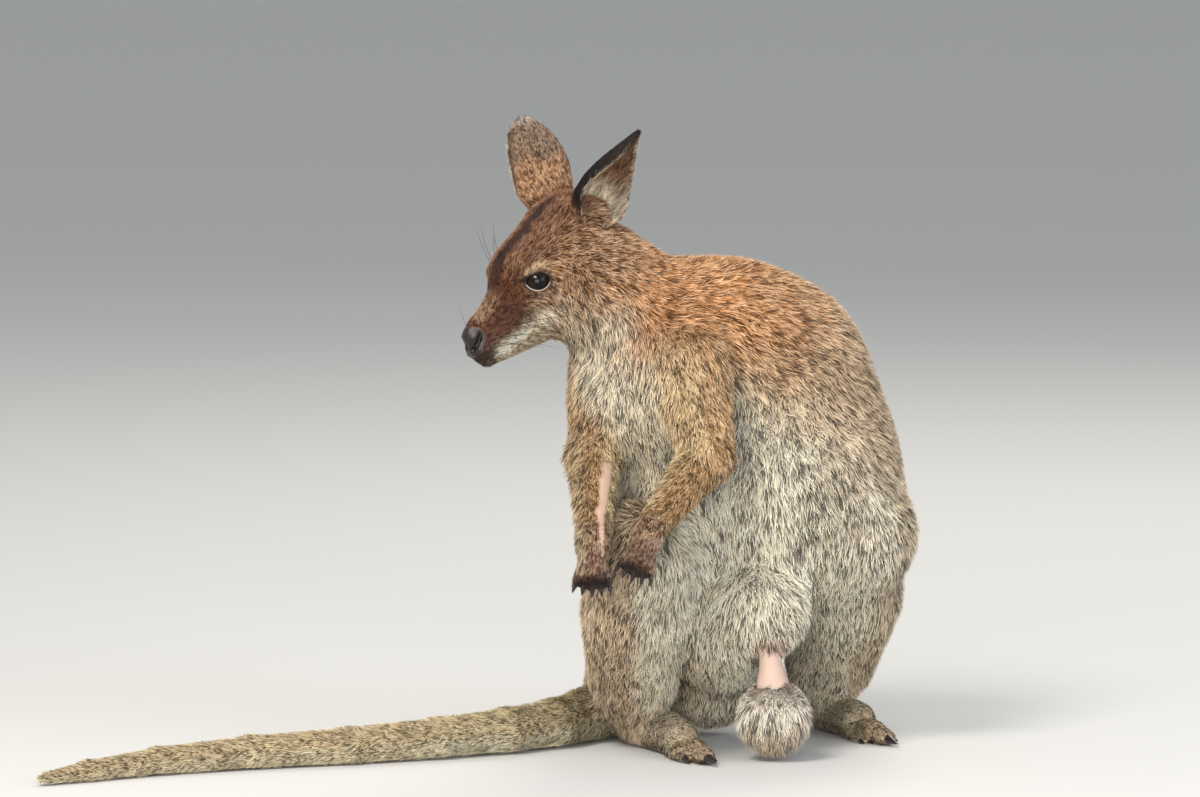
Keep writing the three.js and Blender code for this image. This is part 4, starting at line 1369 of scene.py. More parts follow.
def start_material(name: str, **values: object) -> tuple[bpy.types.Material, bpy.types.Node]:
    """Makes a material.

    Args:
        name: the material's name.
        **values: what its shader's inputs are set to, with _ for each space in an input's name.

    Returns:
        The material and its shader.
    """
    material = bpy.data.materials.new(name)
    material.use_nodes = True
    shader = material.node_tree.nodes["Principled BSDF"]
    for key, value in values.items():
        shader.inputs[key.replace("_", " ")].default_value = value
    return material, shader


@dataclass(frozen=True)
class Finish:
    """A surface whose colour is stored on the mesh, with a fine relief."""

    name: str
    roughness: float
    specular: float = 0.3
    relief: float = 0.0  # millimetres
    grain: float = 1.5  # millimetres between grains
    clear: float = 0.0  # weight of a clear wet layer
    variation: float = 0.1  # of the colour, from grain to grain
    wet: float | None = None  # roughness where the mesh is marked wet

    @staticmethod
    def dress(piece: bpy.types.Object, material: bpy.types.Material) -> None:
        """Gives a piece one material."""
        piece.data.materials.clear()
        piece.data.materials.append(material)

    def material(self) -> bpy.types.Material:
        """Makes the material, or finds it if it is made.

        Returns:
            The material.
        """
        found = bpy.data.materials.get(self.name)
        if found:
            return found
        material, shader = start_material(
            self.name, Roughness=self.roughness, Specular_IOR_Level=self.specular, Coat_Weight=self.clear
        )
        tree = material.node_tree
        colour = add_node(tree, "ShaderNodeAttribute", attribute_name="coat").outputs["Color"]
        place = add_node(tree, "ShaderNodeTexCoord").outputs["Object"]
        grain = add_node(
            tree, "ShaderNodeTexNoise", {"Vector": place, "Scale": 1000 / self.grain, "Detail": 3.0}
        ).outputs["Fac"]
        shade = add_node(
            tree, "ShaderNodeMapRange",
            {"Value": grain, "To Min": 1 - self.variation, "To Max": 1 + self.variation},
        ).outputs["Result"]
        tint = add_node(tree, "ShaderNodeVectorMath", {0: colour, 1: shade}, operation="MULTIPLY")
        tree.links.new(tint.outputs["Vector"], shader.inputs["Base Color"])
        if self.wet is not None:
            share = add_node(tree, "ShaderNodeAttribute", attribute_name="wet").outputs["Fac"]
            rough = add_node(
                tree, "ShaderNodeMapRange", {"Value": share, "To Min": self.roughness, "To Max": self.wet}
            )
            tree.links.new(rough.outputs["Result"], shader.inputs["Roughness"])
        if self.relief:
            bump = add_node(
                tree, "ShaderNodeBump", {"Height": grain, "Distance": self.relief / 1000, "Strength": 1.0}
            )
            tree.links.new(bump.outputs["Normal"], shader.inputs["Normal"])
        return material


# Keratin hair: each tuft scatters light softly, with a faint gloss along it.
HAIR = Finish("hair_keratin", roughness=0.62, specular=0.22, variation=0.06, grain=6)
# Skin under the coat, the stalk and the nose: fine creases and little gloss, but wet on the nose.
BARE_SKIN = Finish(
    "skin_creased", roughness=0.6, specular=0.35, relief=0.25, grain=0.9, variation=0.14, wet=0.34
)
# Lid rims: skin under a film of tears, which gives them a wet gloss; the pale line along the lower rim is a
# painted highlight in their colour.
WET_SKIN = Finish("skin_wet", roughness=0.25, specular=0.5, clear=0.4, grain=1.0)
# Claws: dark horn, worn to a satin gloss.
HORN = Finish("horn_dark", roughness=0.38, specular=0.5, relief=0.1, grain=0.7, clear=0.15)
# Whiskers: stiff black hair, thick enough to have a gloss of its own.
WHISKER = Finish("whisker_keratin", roughness=0.35, specular=0.5, grain=3)


def eye_finish(eye: Eye) -> bpy.types.Material:
    """A wet eye: black pupil, very dark brown iris, dark white of the eye, under a clear cornea.

    Args:
        eye: gives the sizes of the pupil and iris.

    Returns:
        The material, which both eyes share.
    """
    found = bpy.data.materials.get("eye_wet")
    if found:
        return found
    material, shader = start_material(
        "eye_wet", Roughness=0.3, Specular_IOR_Level=0.05, Coat_Weight=0.3, Coat_Roughness=0.02
    )
    tree = material.node_tree
    angle = add_node(tree, "ShaderNodeAttribute", attribute_name="angle").outputs["Fac"]
    rings = add_node(tree, "ShaderNodeValToRGB", {"Fac": angle})
    pupil, iris = eye.pupil / 90, eye.iris / 90
    stops = [
        (0.0, "050404"), (pupil, "070504"), (pupil + 0.05, "150c07"),
        (iris, "130a06"), (iris + 0.06, "0c0706"), (1.0, "1c1512"),
    ]
    bands = rings.color_ramp.elements
    while len(bands) < len(stops):
        bands.new(1.0)
    for band, (position, colour) in zip(bands, stops):
        band.position = position
        band.color = (*linear(colour), 1)
    tree.links.new(rings.outputs["Color"], shader.inputs["Base Color"])
    return material


# ---------------------------------------------------------------- skin
@dataclass(frozen=True)
class Ear:
    """An ear: a leaf-shaped shell, curled into a tube at its root and open towards its tip."""

    side: Side
    root: tuple[float, float, float]  # forward, left and up of the middle of the eyes
    tip: Array
    opening: Array
    tip_opening: Array
    width: float = 55
    root_share: float = 0.68  # of the width at the root
    bow: float = 6  # how far the middle of the ear's back stands out
    thick: float = 2.4
    rows: int = 34
    columns: int = 30

    WAIST = 0.4  # how far up the ear is at its widest
    CURL = (150.0, 62.0, 36.0)  # half of its turn at the root, the middle and the tip, in degrees

    def surface(self, s: Array, t: Array) -> tuple[Array, Array]:
        """Points on the middle of the shell, and the way out of its back.

        Args:
            s: from 0 at the root to 1 at the tip.
            t: from -1 at one edge to 1 at the other.

        Returns:
            The points and the directions.
        """
        base = HEAD.at(*self.root)
        axis = unit(self.tip)
        way = mix(self.opening, self.tip_opening, s[:, None])
        side = unit(np.cross(axis, way))
        front = np.cross(side, axis)
        late = np.sqrt(np.maximum(1 - 0.985 * ((s - self.WAIST) / 0.6) ** 2, 0))
        early = mix(self.root_share, 1.0, np.sin(np.pi * s / 0.8))
        half_width = self.width / 2 * np.where(s < self.WAIST, early, late)
        root, middle, tip = self.CURL
        curl = np.where(s < 0.5, mix(root, middle, np.sin(np.pi * s)), mix(middle, tip, 2 * s - 1))
        half_angle = np.radians(curl)
        roundness = half_width / np.sin(np.minimum(half_angle, np.pi / 2))
        angle = t * half_angle
        root_round = self.width / 2 * self.root_share
        behind = root_round * (1 - s) + self.bow * np.sin(np.pi * s)
        ridge = base + self.tip * s[:, None] - front * behind[:, None]
        point = ridge + side * (roundness * np.sin(angle))[:, None]
        point = point + front * (roundness * (1 - np.cos(angle)))[:, None]
        return point, side * np.sin(angle)[:, None] - front * np.cos(angle)[:, None]

    def build(self) -> bpy.types.Object:
        """Models the shell, thinner towards its edges, with its place on the ear stored on it.

        Returns:
            The shell, in millimetres.
        """
        i, j = np.meshgrid(np.arange(self.rows + 1), np.arange(self.columns + 1), indexing="ij")
        s, t = (i / self.rows).ravel(), (2 * j / self.columns - 1).ravel()
        middle, out = self.surface(s, t)
        thick = self.thick * (1 - 0.6 * np.maximum(np.abs(t) ** 3, s**4))
        half = out * thick[:, None] / 2
        points = np.concatenate([middle + half, middle - half])
        layer = (self.rows + 1) * (self.columns + 1)
        grid = i * (self.columns + 1) + j
        a, b, c, d = grid[:-1, :-1], grid[1:, :-1], grid[1:, 1:], grid[:-1, 1:]
        outer, inner = np.stack([a, b, c, d], -1), np.stack([a, d, c, b], -1) + layer
        faces = [outer.reshape(-1, 4), inner.reshape(-1, 4)]
        rim = np.concatenate([grid[0, :], grid[1:, -1], grid[-1, -2::-1], grid[-2:0:-1, 0]])
        after = np.roll(rim, -1)
        faces.append(np.stack([rim, after, after + layer, rim + layer], -1))
        piece = mesh_object(f"ear_skin_{self.side.word}", points, np.concatenate(faces))
        set_values(piece.data, "ear_s", np.tile(s + 1, 2))
        set_values(piece.data, "ear_t", np.tile(t, 2))
        set_values(piece.data, "ear_inner", np.repeat([0.0, 1.0], layer))
        close_winding(piece)
        return piece


EARS = {
    Side.RIGHT: Ear(
        Side.RIGHT, (-85, -36, 19), vec(-26, 26, 73), vec(-0.35, 0.93, 0.1), vec(-0.45, 0.88, 0.1)
    ),
    Side.LEFT: Ear(
        Side.LEFT, (-76, 28, 17), vec(42, -38, 78), vec(0.42, -0.9, 0.05), vec(0.95, -0.28, 0.15)
    ),
}


@dataclass
class Skin:
    """One skin over all the flesh, under the coat's depth, with its lids, nose, mouth and ears."""

    voxel: float = 3.7
    hand_voxel: float = 1.3
    toe_voxel: float = 1.9
    piece: bpy.types.Object | None = None
    coat: CoatMap | None = None
    points: Array | None = None
    normals: Array | None = None

    ELSEWHERE = -99.0  # stands for a length along a hand or foot, for points that aren't on it
    FACE_REACH = 100.0  # the face lies within this of the middle of the eyes
    NODES = [
        "head", "neck", "thorax", "abdomen", "rump", "scrotum", "tail_base", "tail_middle", "tail_end",
        *(f"{part}_{side.word}" for side in Side for part in (
            "ear", "upper_arm", "forearm", "hand", "thigh", "shin", "foot")),
    ]

    @staticmethod
    def blockout(name: str, parts: list[Limb | Mass], voxel: float) -> bpy.types.Object:
        """Joins a stretched ball for each part of the flesh and remeshes them as one.

        Args:
            name: the object's name.
            parts: the limbs and masses.
            voxel: the size of the new mesh's faces.

        Returns:
            The remeshed object, in millimetres.
        """
        bpy.ops.mesh.primitive_uv_sphere_add(segments=32, ring_count=20, radius=1)
        ball = bpy.context.object
        mesh = ball.data
        ball.name = mesh.name = name
        shape = coordinates(mesh)
        activate(ball)
        copies = []
        for part in parts:
            copy = bpy.data.objects.new(name, mesh.copy())
            bpy.context.scene.collection.objects.link(copy)
            set_coordinates(copy.data, part.shell(shape))
            copies.append(copy)
        bpy.data.objects.remove(ball)
        joined = join(copies)
        joined.data.remesh_voxel_size = voxel
        joined.data.remesh_voxel_adaptivity = 0
        bpy.ops.object.voxel_remesh()
        return joined

    @staticmethod
    def subdivide(piece: bpy.types.Object, wanted: Array) -> None:
        """Divides the faces that are marked into four."""
        with faces_selected(piece, wanted):
            bpy.ops.mesh.subdivide(number_cuts=1)

    @staticmethod
    def delete_faces(piece: bpy.types.Object, doomed: Array) -> None:
        """Deletes the faces that are marked."""
        with faces_selected(piece, doomed):
            bpy.ops.mesh.delete(type="FACE")

    @staticmethod
    def centres(piece: bpy.types.Object) -> Array:
        """The middle of each face."""
        return read(piece.data.polygons, "center", 3).astype(float)

    @classmethod
    def beyond_wrist(cls, side: Side, points: Array) -> Array:
        """How far down the hand points lie, or far behind if elsewhere.

        Args:
            side: which hand.
            points: places on the body, in millimetres.

        Returns:
            One length for each.
        """
        wrist = side.joint("Wrist")
        down = FINGERS.axes(side)[0]
        near = segment_distance(points, wrist, wrist + down * 70) < 26
        return np.where(near, (points - wrist) @ down, cls.ELSEWHERE)

    @classmethod
    def beyond_ball(cls, side: Side, points: Array) -> Array:
        """How far forward of the ball of the foot points lie, or far behind if elsewhere.

        Args:
            side: which foot.
            points: places on the body, in millimetres.

        Returns:
            One length for each.
        """
        heel, ball = side.joint("Heel"), side.joint("Ball")
        forward = unit((ball - heel) * vec(1, 1, 0))
        near = (segment_distance(points, ball, ball + forward * 80) < 28) & (points[:, 2] < 42)
        return np.where(near, (points - ball) @ forward, cls.ELSEWHERE)

    def model(self) -> list[bpy.types.Object]:
        """Models the body, the hands and the toes, each at its own fineness, cut where they meet.

        Returns:
            The body, then each side's hand and toes.
        """
        body = self.blockout("skin", FLESH.parts, self.voxel)
        middle = self.centres(body)
        doomed = np.zeros(len(middle), bool)
        for side in Side:
            doomed |= (self.beyond_wrist(side, middle) > 3) | (self.beyond_ball(side, middle) > -2)
        self.delete_faces(body, doomed)
        local = HEAD.local(self.centres(body))
        sideways, upwards = np.abs(local[:, 1]), np.abs(local[:, 2] + 10)
        self.subdivide(body, (local[:, 0] > -48) & (sideways < 50) & (upwards < 62))
        pieces = [body]
        for side in Side:
            hand = self.blockout(f"hand_skin_{side.word}", arm_flesh(side), self.hand_voxel)
            self.delete_faces(hand, self.beyond_wrist(side, self.centres(hand)) < 1)
            toes = self.blockout(f"toe_skin_{side.word}", foot_flesh(side), self.toe_voxel)
            self.delete_faces(toes, self.beyond_ball(side, self.centres(toes)) < -4)
            pieces += [hand, toes]
        return pieces

    def shape(self, piece: bpy.types.Object) -> None:
        """Settles a piece of skin under the coat's depth, relaxes its faces and settles it again.

        Args:
            piece: the piece of skin.
        """
        self.sink(piece, 3)
        activate(piece)
        smooth = piece.modifiers.new("relax", "SMOOTH")
        smooth.factor, smooth.iterations = 0.5, 2
        bpy.ops.object.modifier_apply(modifier=smooth.name)
        self.sink(piece, 2)

    @staticmethod
    def sink(piece: bpy.types.Object, passes: int) -> None:
        """Moves a piece of skin to the coat's depth under the outside."""
        points = coordinates(piece.data)
        set_coordinates(piece.data, FLESH.settle(points, CoatMap.read(points).depth, passes))

    def refine_face(self, body: bpy.types.Object) -> None:
        """Divides the skin round the eyes, nose and lips once more, and models them.

        Args:
            body: the skin of the body.
        """
        middle = self.centres(body)
        local = HEAD.local(middle)
        fine = (local[:, 0] > 44) & (np.abs(local[:, 1]) < 30)
        for side in Side:
            fine |= np.linalg.norm(middle - HEAD.eye(side), axis=1) < 21
        self.subdivide(body, fine)
        points = coordinates(body.data)
        chosen = np.linalg.norm(points - JOINTS["eyes"], axis=1) < self.FACE_REACH
        near = points[chosen]
        near = FLESH.settle(near, CoatMap.read(near).depth, 2)
        for side in Side:
            near = Eye(side).lids(near)
        points[chosen] = near
        set_coordinates(body.data, points)
        normals = vertex_normals(body.data)[chosen]
        near -= normals * self.face_dents(near)[:, None]
        points[chosen] = near
        set_coordinates(body.data, points)

    @staticmethod
    def face_dents(points: Array) -> Array:
        """How deep the nostrils, the cleft under the nose and the mouth lie.

        Args:
            points: places on the body, in millimetres.

        Returns:
            One depth for each, negative where the nostril's wing stands out.
        """
        mirrored = HEAD.mirrored(HEAD.local(points))
        cleft = [vec(80, 0, -16), vec(77, 0, -28)]
        wing = [vec(76, 7, -11), vec(67, 11.5, -8.5)]
        dent = np.zeros(len(points))
        for path, width, depth in (
            (Markings.LIPS, 1.7, 1.7), (Markings.NOSTRIL, 1.7, 3.6), (cleft, 1.1, 1.1), (wing, 2.2, -0.9),
        ):
            dent += depth * np.exp(-((path_distance(mirrored, path) / width) ** 2))
        return dent

    def build(self, place: Place) -> bpy.types.Object:
        """Makes the whole skin, its colours and the map of its coat.

        Args:
            place: where the animal stands.

        Returns:
            The skin.
        """
        pieces = self.model()
        for piece in pieces:
            self.shape(piece)
        self.refine_face(pieces[0])
        skin = join(pieces + [ear.build() for ear in EARS.values()])
        skin.name = skin.data.name = "skin"
        bpy.ops.object.shade_smooth()
        self.piece = skin
        self.points = coordinates(skin.data)
        self.normals = vertex_normals(skin.data)
        self.coat = CoatMap.read(self.points, self.normals)
        Markings().apply(self.coat, self.points, self.normals)
        self.mark_ears()
        local = HEAD.local(self.points)
        nose = Markings.nose_share(HEAD.mirrored(local))
        set_values(skin.data, "wet", nose * (np.linalg.norm(local, axis=1) < self.FACE_REACH))
        # Skin under the coat is darkened to 0.55: partly the dark underfur, partly painted shade under the tufts.
        under = self.coat.colour * np.where(self.coat.cover > 0.5, 0.55, 1.0)[:, None]
        set_colours(skin.data, "coat", under)
        set_coordinates(skin.data, place.metres(self.points))
        self.unwrap()
        Finish.dress(skin, BARE_SKIN.material())
        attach(skin, "root")
        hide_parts(*self.NODES)
        return skin

    def mark_ears(self) -> None:
        """Gives the ears their own coat: short behind, long and pale inside their edges."""
        mesh, coat = self.piece.data, self.coat
        s_raw, t, inner = (get_values(mesh, name) for name in ("ear_s", "ear_t", "ear_inner"))
        on_ear = s_raw > 0.5
        s, edge = np.clip(s_raw - 1, 0, 1), np.abs(t)
        middle = {side: HEAD.at(*ear.root) for side, ear in EARS.items()}
        ends = {side: middle[side] + ear.tip for side, ear in EARS.items()}
        gaps = {side: segment_distance(self.points, middle[side], ends[side]) for side in Side}
        for side, ear in EARS.items():
            mine = on_ear & (gaps[side] < gaps[Side(-side.value)])
            front = t * np.sign(self.edge_forward(ear))
            outer = mine & (inner < 0.5)
            coat.flow[mine] = unit(ear.tip)
            coat.group[mine] = list(Group).index(Group.EARS)
            coat.length[mine], coat.depth[mine], coat.width[mine] = 4.2, 1.2, 0.7
            speckle = 0.15 * NOISE(self.points, 6)
            base = mix(linear("94633c"), linear("6d5544"), ramp(0.22, 0.55, s + speckle)[:, None])
            base = mix(base, linear("8d8079"), ramp(0.86, 0.98, s)[:, None])
            above = ramp(0.1, 0.3, s)
            base = mix(base, linear("3a261d"), (ramp(0.8, 0.92, edge) * above * 0.8)[:, None])
            base = mix(base, linear("e4dac9"), (ramp(0.965, 0.99, edge) * above * 0.9)[:, None])
            if side is Side.LEFT:
                dark = ramp(-0.1, 0.35, front) * ramp(0.0, 0.15, s)
                base = mix(base, linear("1d100c"), np.maximum(dark, ramp(0.8, 0.93, s))[:, None])
                coat.length[outer] += 3.5 * dark[outer]
            coat.colour[outer] = base[outer]
            fringe = ramp(0.0, 0.5, front) * (1 - ramp(0.62, 0.85, s))
            fringe = np.maximum(fringe, 1 - ramp(0.12, 0.38, s))
            fringe = np.maximum(fringe, 0.7 * ramp(0.85, 0.95, edge))
            pale = (fringe * (0.75 + 2 * speckle)).clip(0, 1)
            lit = mix(linear("6b4830"), linear("e2d6be"), pale[:, None])
            lit = mix(lit, linear("2a1912"), (ramp(0.78, 0.95, s) * 0.9)[:, None])
            inside = mine & (inner > 0.5)
            coat.colour[inside] = lit[inside]
            coat.cover[inside] = 0.25 + 0.75 * ramp(0.4, 0.85, edge[inside])
            rim = 1 - 0.65 * ramp(0.6, 0.95, edge[inside])
            coat.length[inside] = (6 + 9 * (1 - ramp(0.3, 0.9, s[inside]))) * rim

    @staticmethod
    def edge_forward(ear: Ear) -> float:
        """Which edge of an ear is its front: positive if it is the one at t = 1."""
        edges, _ = ear.surface(np.array([0.5, 0.5]), np.array([-1.0, 1.0]))
        return float((edges[1] - edges[0]) @ (HEAD.forward + HEAD.up * 0.2))

    def unwrap(self) -> None:
        """Lays the skin out flat, on the map named OFBake."""
        mesh = self.piece.data
        mesh.uv_layers.new(name="OFBake")
        with editing(self.piece):
            bpy.ops.mesh.select_all(action="SELECT")
            bpy.ops.uv.smart_project(angle_limit=math.radians(66), island_margin=0.001)


# ---------------------------------------------------------------- fur
@dataclass(frozen=True)
class Fur:
    """The coat: overlapping tufts, each a closed spike of four triangles that lies along the body."""

    tufts: int = 345_000
    in_piece: int = 48_000
    lock: float = 5.5  # between the middles of neighbouring locks
    gather: float = 0.4  # how far a tuft's tip moves towards the middle of its lock
    patch: float = 0.0015  # half the size of a tuft's patch on the map
    stray: float = 0.22  # how far a tuft points away from its neighbours
    guards: float = 0.25  # the share of tufts that are longer and thinner guard hairs
    swirls: tuple[tuple[float, float], ...] = ((0.28, 13), (0.16, 4))  # strengths and sizes
    dark_below: float = 0.32  # the share of tufts with dark tips
    pale_above: float = 0.62  # the rest above this share have pale tips

    def build(self, skin: Skin, place: Place) -> list[bpy.types.Object]:
        """Grows the coat over the skin.

        Args:
            skin: the finished skin with its coat map.
            place: where the animal stands.

        Returns:
            The pieces of coat.
        """
        rng = np.random.default_rng(SEED)
        mesh = skin.piece.data
        mesh.calc_loop_triangles()
        corners = read(mesh.loop_triangles, "vertices", 3, np.int32)
        loops = read(mesh.loop_triangles, "loops", 3, np.int32)
        uv = read(mesh.uv_layers["OFBake"].data, "uv", 2)
        coat, points = skin.coat, skin.points
        a, b, c = (points[corners[:, k]] for k in range(3))
        area = np.linalg.norm(np.cross(b - a, c - a), axis=1) / 2
        size = (coat.length * coat.width)[corners].mean(1)
        share = np.cumsum(area * coat.cover[corners].min(1) / size)
        drawn = (np.arange(self.tufts) + rng.random(self.tufts)) / self.tufts * share[-1]
        chosen = np.searchsorted(share, drawn)
        weights = rng.dirichlet((1, 1, 1), self.tufts)
        verts = corners[chosen]

        def blend(values: Array) -> Array:
            """Values at the roots, from those at the corners of their triangles."""
            spread = weights if values.ndim == 1 else weights[:, :, None]
            return (values[verts] * spread).sum(1)

        root, normal, colour = blend(points), unit(blend(skin.normals)), blend(coat.colour)
        length, depth, width = blend(coat.length), blend(coat.depth), blend(coat.width)
        stray = self.stray * rng.standard_normal((self.tufts, 3))
        flow = self.lay(blend(coat.flow) + stray, root, normal)
        guard = rng.random(self.tufts) < self.guards
        length = length * rng.uniform(0.7, 1.1, self.tufts) * np.where(guard, 1.3, 1)
        width = width * rng.uniform(0.75, 1.2, self.tufts) * np.where(guard, 0.7, 1)
        lift = np.clip(depth * rng.uniform(0.45, 1.15, self.tufts), 0.4, 0.85 * length)
        flat = np.sqrt(np.maximum(length**2 - lift**2, 0.1))
        tip = root + flow * flat[:, None] + normal * lift[:, None]
        to_lock = self.lock_middle(root) - root
        to_lock -= normal * dot(normal, to_lock)[:, None]
        pull = self.gather * np.clip(length / 12, 0.15, 1)
        tip += to_lock * pull[:, None]
        across = unit(np.cross(normal, flow)) * (width / 2)[:, None]
        ridge = root + normal * (width * 0.4)[:, None]
        spikes = np.stack([root - across, root + across, ridge, tip], 1)
        spikes[..., 2] = np.maximum(spikes[..., 2], FLOOR)
        shade = self.shades(colour, root, length, rng)
        at = (uv[loops[chosen]] * weights[:, :, None]).sum(1)
        group = coat.group[verts[:, 0]]
        pieces = []
        for index, kind in enumerate(Group):
            mine = np.flatnonzero(group == index)
            shares = max(1, math.ceil(len(mine) / self.in_piece))
            for part, some in enumerate(np.array_split(mine, shares)):
                if len(some):
                    name = f"coat_{kind.word}_{part + 1}"
                    shape = place.metres(spikes[some])
                    pieces.append(self.piece(name, shape, shade[some], at[some], kind))
        return pieces

    def lay(self, flow: Array, root: Array, normal: Array) -> Array:
        """Which way each tuft points: along the body, with small swirls.

        Args:
            flow: which way the coat grows.
            root: where each tuft stands.
            normal: which way the skin faces there.

        Returns:
            One direction for each tuft.
        """
        for i, (strength, size) in enumerate(self.swirls):
            apart = [root + 300.0 * (3 * i + k) for k in (1, 2, 3)]
            flow = flow + strength * np.stack([NOISE(spot, size) for spot in apart], 1)
        return unit(flow - normal * dot(normal, flow)[:, None])

    def lock_middle(self, root: Array) -> Array:
        """The middle of the lock of hair that each tuft belongs to.

        Args:
            root: where each tuft stands.

        Returns:
            One point for each tuft.
        """
        cell = np.floor(root / self.lock - 0.5).astype(int)
        best, found = np.full(len(root), 1e9), np.zeros_like(root)
        for offset in CUBE:
            here = cell + offset
            i, j, k = (here % Noise.TABLE).T
            table = NOISE.values
            jitter = np.stack([table[i, j, k], table[j, k, i], table[k, i, j]], 1)
            middle = (here + 0.5 + 0.4 * jitter) * self.lock
            gap = np.linalg.norm(middle - root, axis=1)
            nearer = gap < best
            best[nearer], found[nearer] = gap[nearer], middle[nearer]
        return found

    def shades(self, colour: Array, root: Array, length: Array, rng: np.random.Generator) -> Array:
        """The colours of a tuft's four points: dark at its root, for the dark underfur and painted shade among the
        roots, then plain, pale or nearly black.

        Args:
            colour: the coat's colour at each tuft.
            root: where each tuft stands.
            length: how long each tuft is.
            rng: the source of random numbers.

        Returns:
            Four colours for each tuft.
        """
        count = len(colour)
        value = 1 + 0.12 * NOISE(root, 24) + 0.16 * NOISE(root, 7) + rng.uniform(-0.15, 0.15, count)
        kind = mix(NOISE(root, 1.3), NOISE(root, 2.4), ramp(5, 11, length))
        kind = kind + rng.uniform(-0.4, 0.4, count)
        dark = (kind < np.quantile(kind, self.dark_below))[:, None]
        pale = (kind > np.quantile(kind, self.pale_above))[:, None]
        share = 0.4 * ramp(0.02, 0.17, colour @ vec(0.21, 0.72, 0.07))
        cream = mix(colour * 1.35, linear("f6e6c8"), share[:, None])
        end = np.where(pale, cream, colour * np.where(dark, 0.17, 1.0)) * value[:, None]
        # The root end is darkened: partly the dark underfur, partly painted shade down among the tufts.
        base = colour * value[:, None] * np.where(dark, 0.16, 0.34)
        return np.clip(np.stack([base, base, base, end], 1), 0.004, 0.9)

    def piece(self, name: str, spikes: Array, shades: Array, at: Array, kind: Group) -> bpy.types.Object:
        """Makes one object of tufts.

        Args:
            name: its name.
            spikes: the four points of each tuft.
            shades: their colours.
            at: each tuft's place on the skin's map.
            kind: the group of coat that it belongs to; not used.

        Returns:
            The object.
        """
        count = len(spikes)
        corners = np.array([(0, 1, 3), (1, 2, 3), (2, 0, 3), (0, 2, 1)])
        faces = (corners[None] + 4 * np.arange(count)[:, None, None]).reshape(-1, 3)
        tufts = mesh_object(name, spikes.reshape(-1, 3), faces)
        tufts.data.polygons.foreach_set("use_smooth", np.zeros(len(faces), bool))
        set_colours(tufts.data, "coat", shades.reshape(-1, 3))
        offsets = np.array([(-1, -0.7), (1, -0.7), (0, 0), (0, 1)]) * self.patch
        patch = np.clip((at[:, None] + offsets)[:, corners.ravel()], 0, 1)
        layer = tufts.data.uv_layers.new(name="OFBake")
        layer.data.foreach_set("uv", patch.astype(np.float32).ravel())
        Finish.dress(tufts, HAIR.material())
        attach(tufts, "root")
        kind.slot
        return tufts


# ---------------------------------------------------------------- claws and whiskers
@dataclass(frozen=True)
class Horn:
    """A curved claw or a whisker: a tube that tapers from its root to a point."""

    root: Array
    way: Array
    bend: Array
    length: float
    radius: float
    point: float = 0.3  # its radius at the tip
    sag: float = 0.3  # how far it bends, for its length

    END = 0.02  # radius of the rings that close the tube

    def tube(self, rings: int, sides: int) -> tuple[Array, Array]:
        """Its points and faces, closed at both ends.

        Args:
            rings: rings of points along it.
            sides: points to a ring.

        Returns:
            The points and the faces.
        """
        t = np.linspace(0, 1, rings)
        path = self.root + self.way * (self.length * t)[:, None]
        path = path + self.bend * (self.length * self.sag * t * t)[:, None]
        radii = self.radius * (1 - t) ** 0.8 + self.point
        before, after = path[:1] - self.way * self.radius * 0.3, path[-1:] + self.way * self.point
        path = np.concatenate([before, path, after])
        return tube(path, np.concatenate([[self.END], radii, [self.END]]), sides)


def joined_tubes(name: str, horns: list[Horn], rings: int, sides: int, place: Place) -> bpy.types.Object:
    """Makes one object of several claws or whiskers.

    Args:
        name: the object's name.
        horns: the claws or whiskers.
        rings: rings of points along each.
        sides: points to a ring.
        place: where the animal stands.

    Returns:
        The object.
    """
    points, faces, count = [], [], 0
    for horn in horns:
        some, theirs = horn.tube(rings, sides)
        points.append(some)
        faces.append(theirs + count)
        count += len(some)
    shape = np.concatenate(points)
    shape[:, 2] = np.maximum(shape[:, 2], FLOOR)
    piece = mesh_object(name, place.metres(shape), np.concatenate(faces))
    close_winding(piece)
    return piece


@dataclass(frozen=True)
class Claws:
    """The claws of the hands and feet."""

    finger: float = 6.5
    toes: tuple[float, ...] = (9, 9, 22, 14)
    thick: float = 0.55  # of the digit's tip

    RINGS, SIDES = 12, 12
    COLOUR = "15110f"

    def digit(self, middle: Array, end: Array, tip: float, bend: Array, length: float) -> Horn:
        """The claw at the end of a digit."""
        way = unit(end - middle)
        return Horn(end + way * tip * 0.35, way, bend, length, tip * self.thick)

    def build(self, side: Side, place: Place) -> list[bpy.types.Object]:
        """Models the claws of one hand and one foot.

        Args:
            side: which ones.
            place: where the animal stands.

        Returns:
            The two sets of claws.
        """
        palmward = FINGERS.axes(side)[2]
        tip = FINGERS.radius - FINGERS.taper
        hand = [self.digit(m, e, tip, palmward, self.finger) for _, m, e in FINGERS.paths(side)]
        down = vec(0, 0, -0.2)
        ends = zip(foot_flesh(side)[3::2], self.toes)
        foot = [self.digit(limb.a, limb.b, limb.rb, down, length) for limb, length in ends]
        pieces = []
        for name, horns, numbers in (("hand", hand, range(1, 6)), ("foot", foot, range(2, 6))):
            piece = joined_tubes(f"claws_{name}_{side.word}", horns, self.RINGS, self.SIDES, place)
            along = np.repeat(np.linspace(0, 1, self.RINGS + 2), self.SIDES)
            shade = 0.7 + 0.9 * np.tile(along, len(horns))
            set_colours(piece.data, "coat", linear(self.COLOUR) * shade[:, None])
            Finish.dress(piece, HORN.material())
            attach(piece, "root")
            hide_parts(*(f"claw_{name}_{side.word}_{n}" for n in numbers))
            pieces.append(piece)
        return pieces


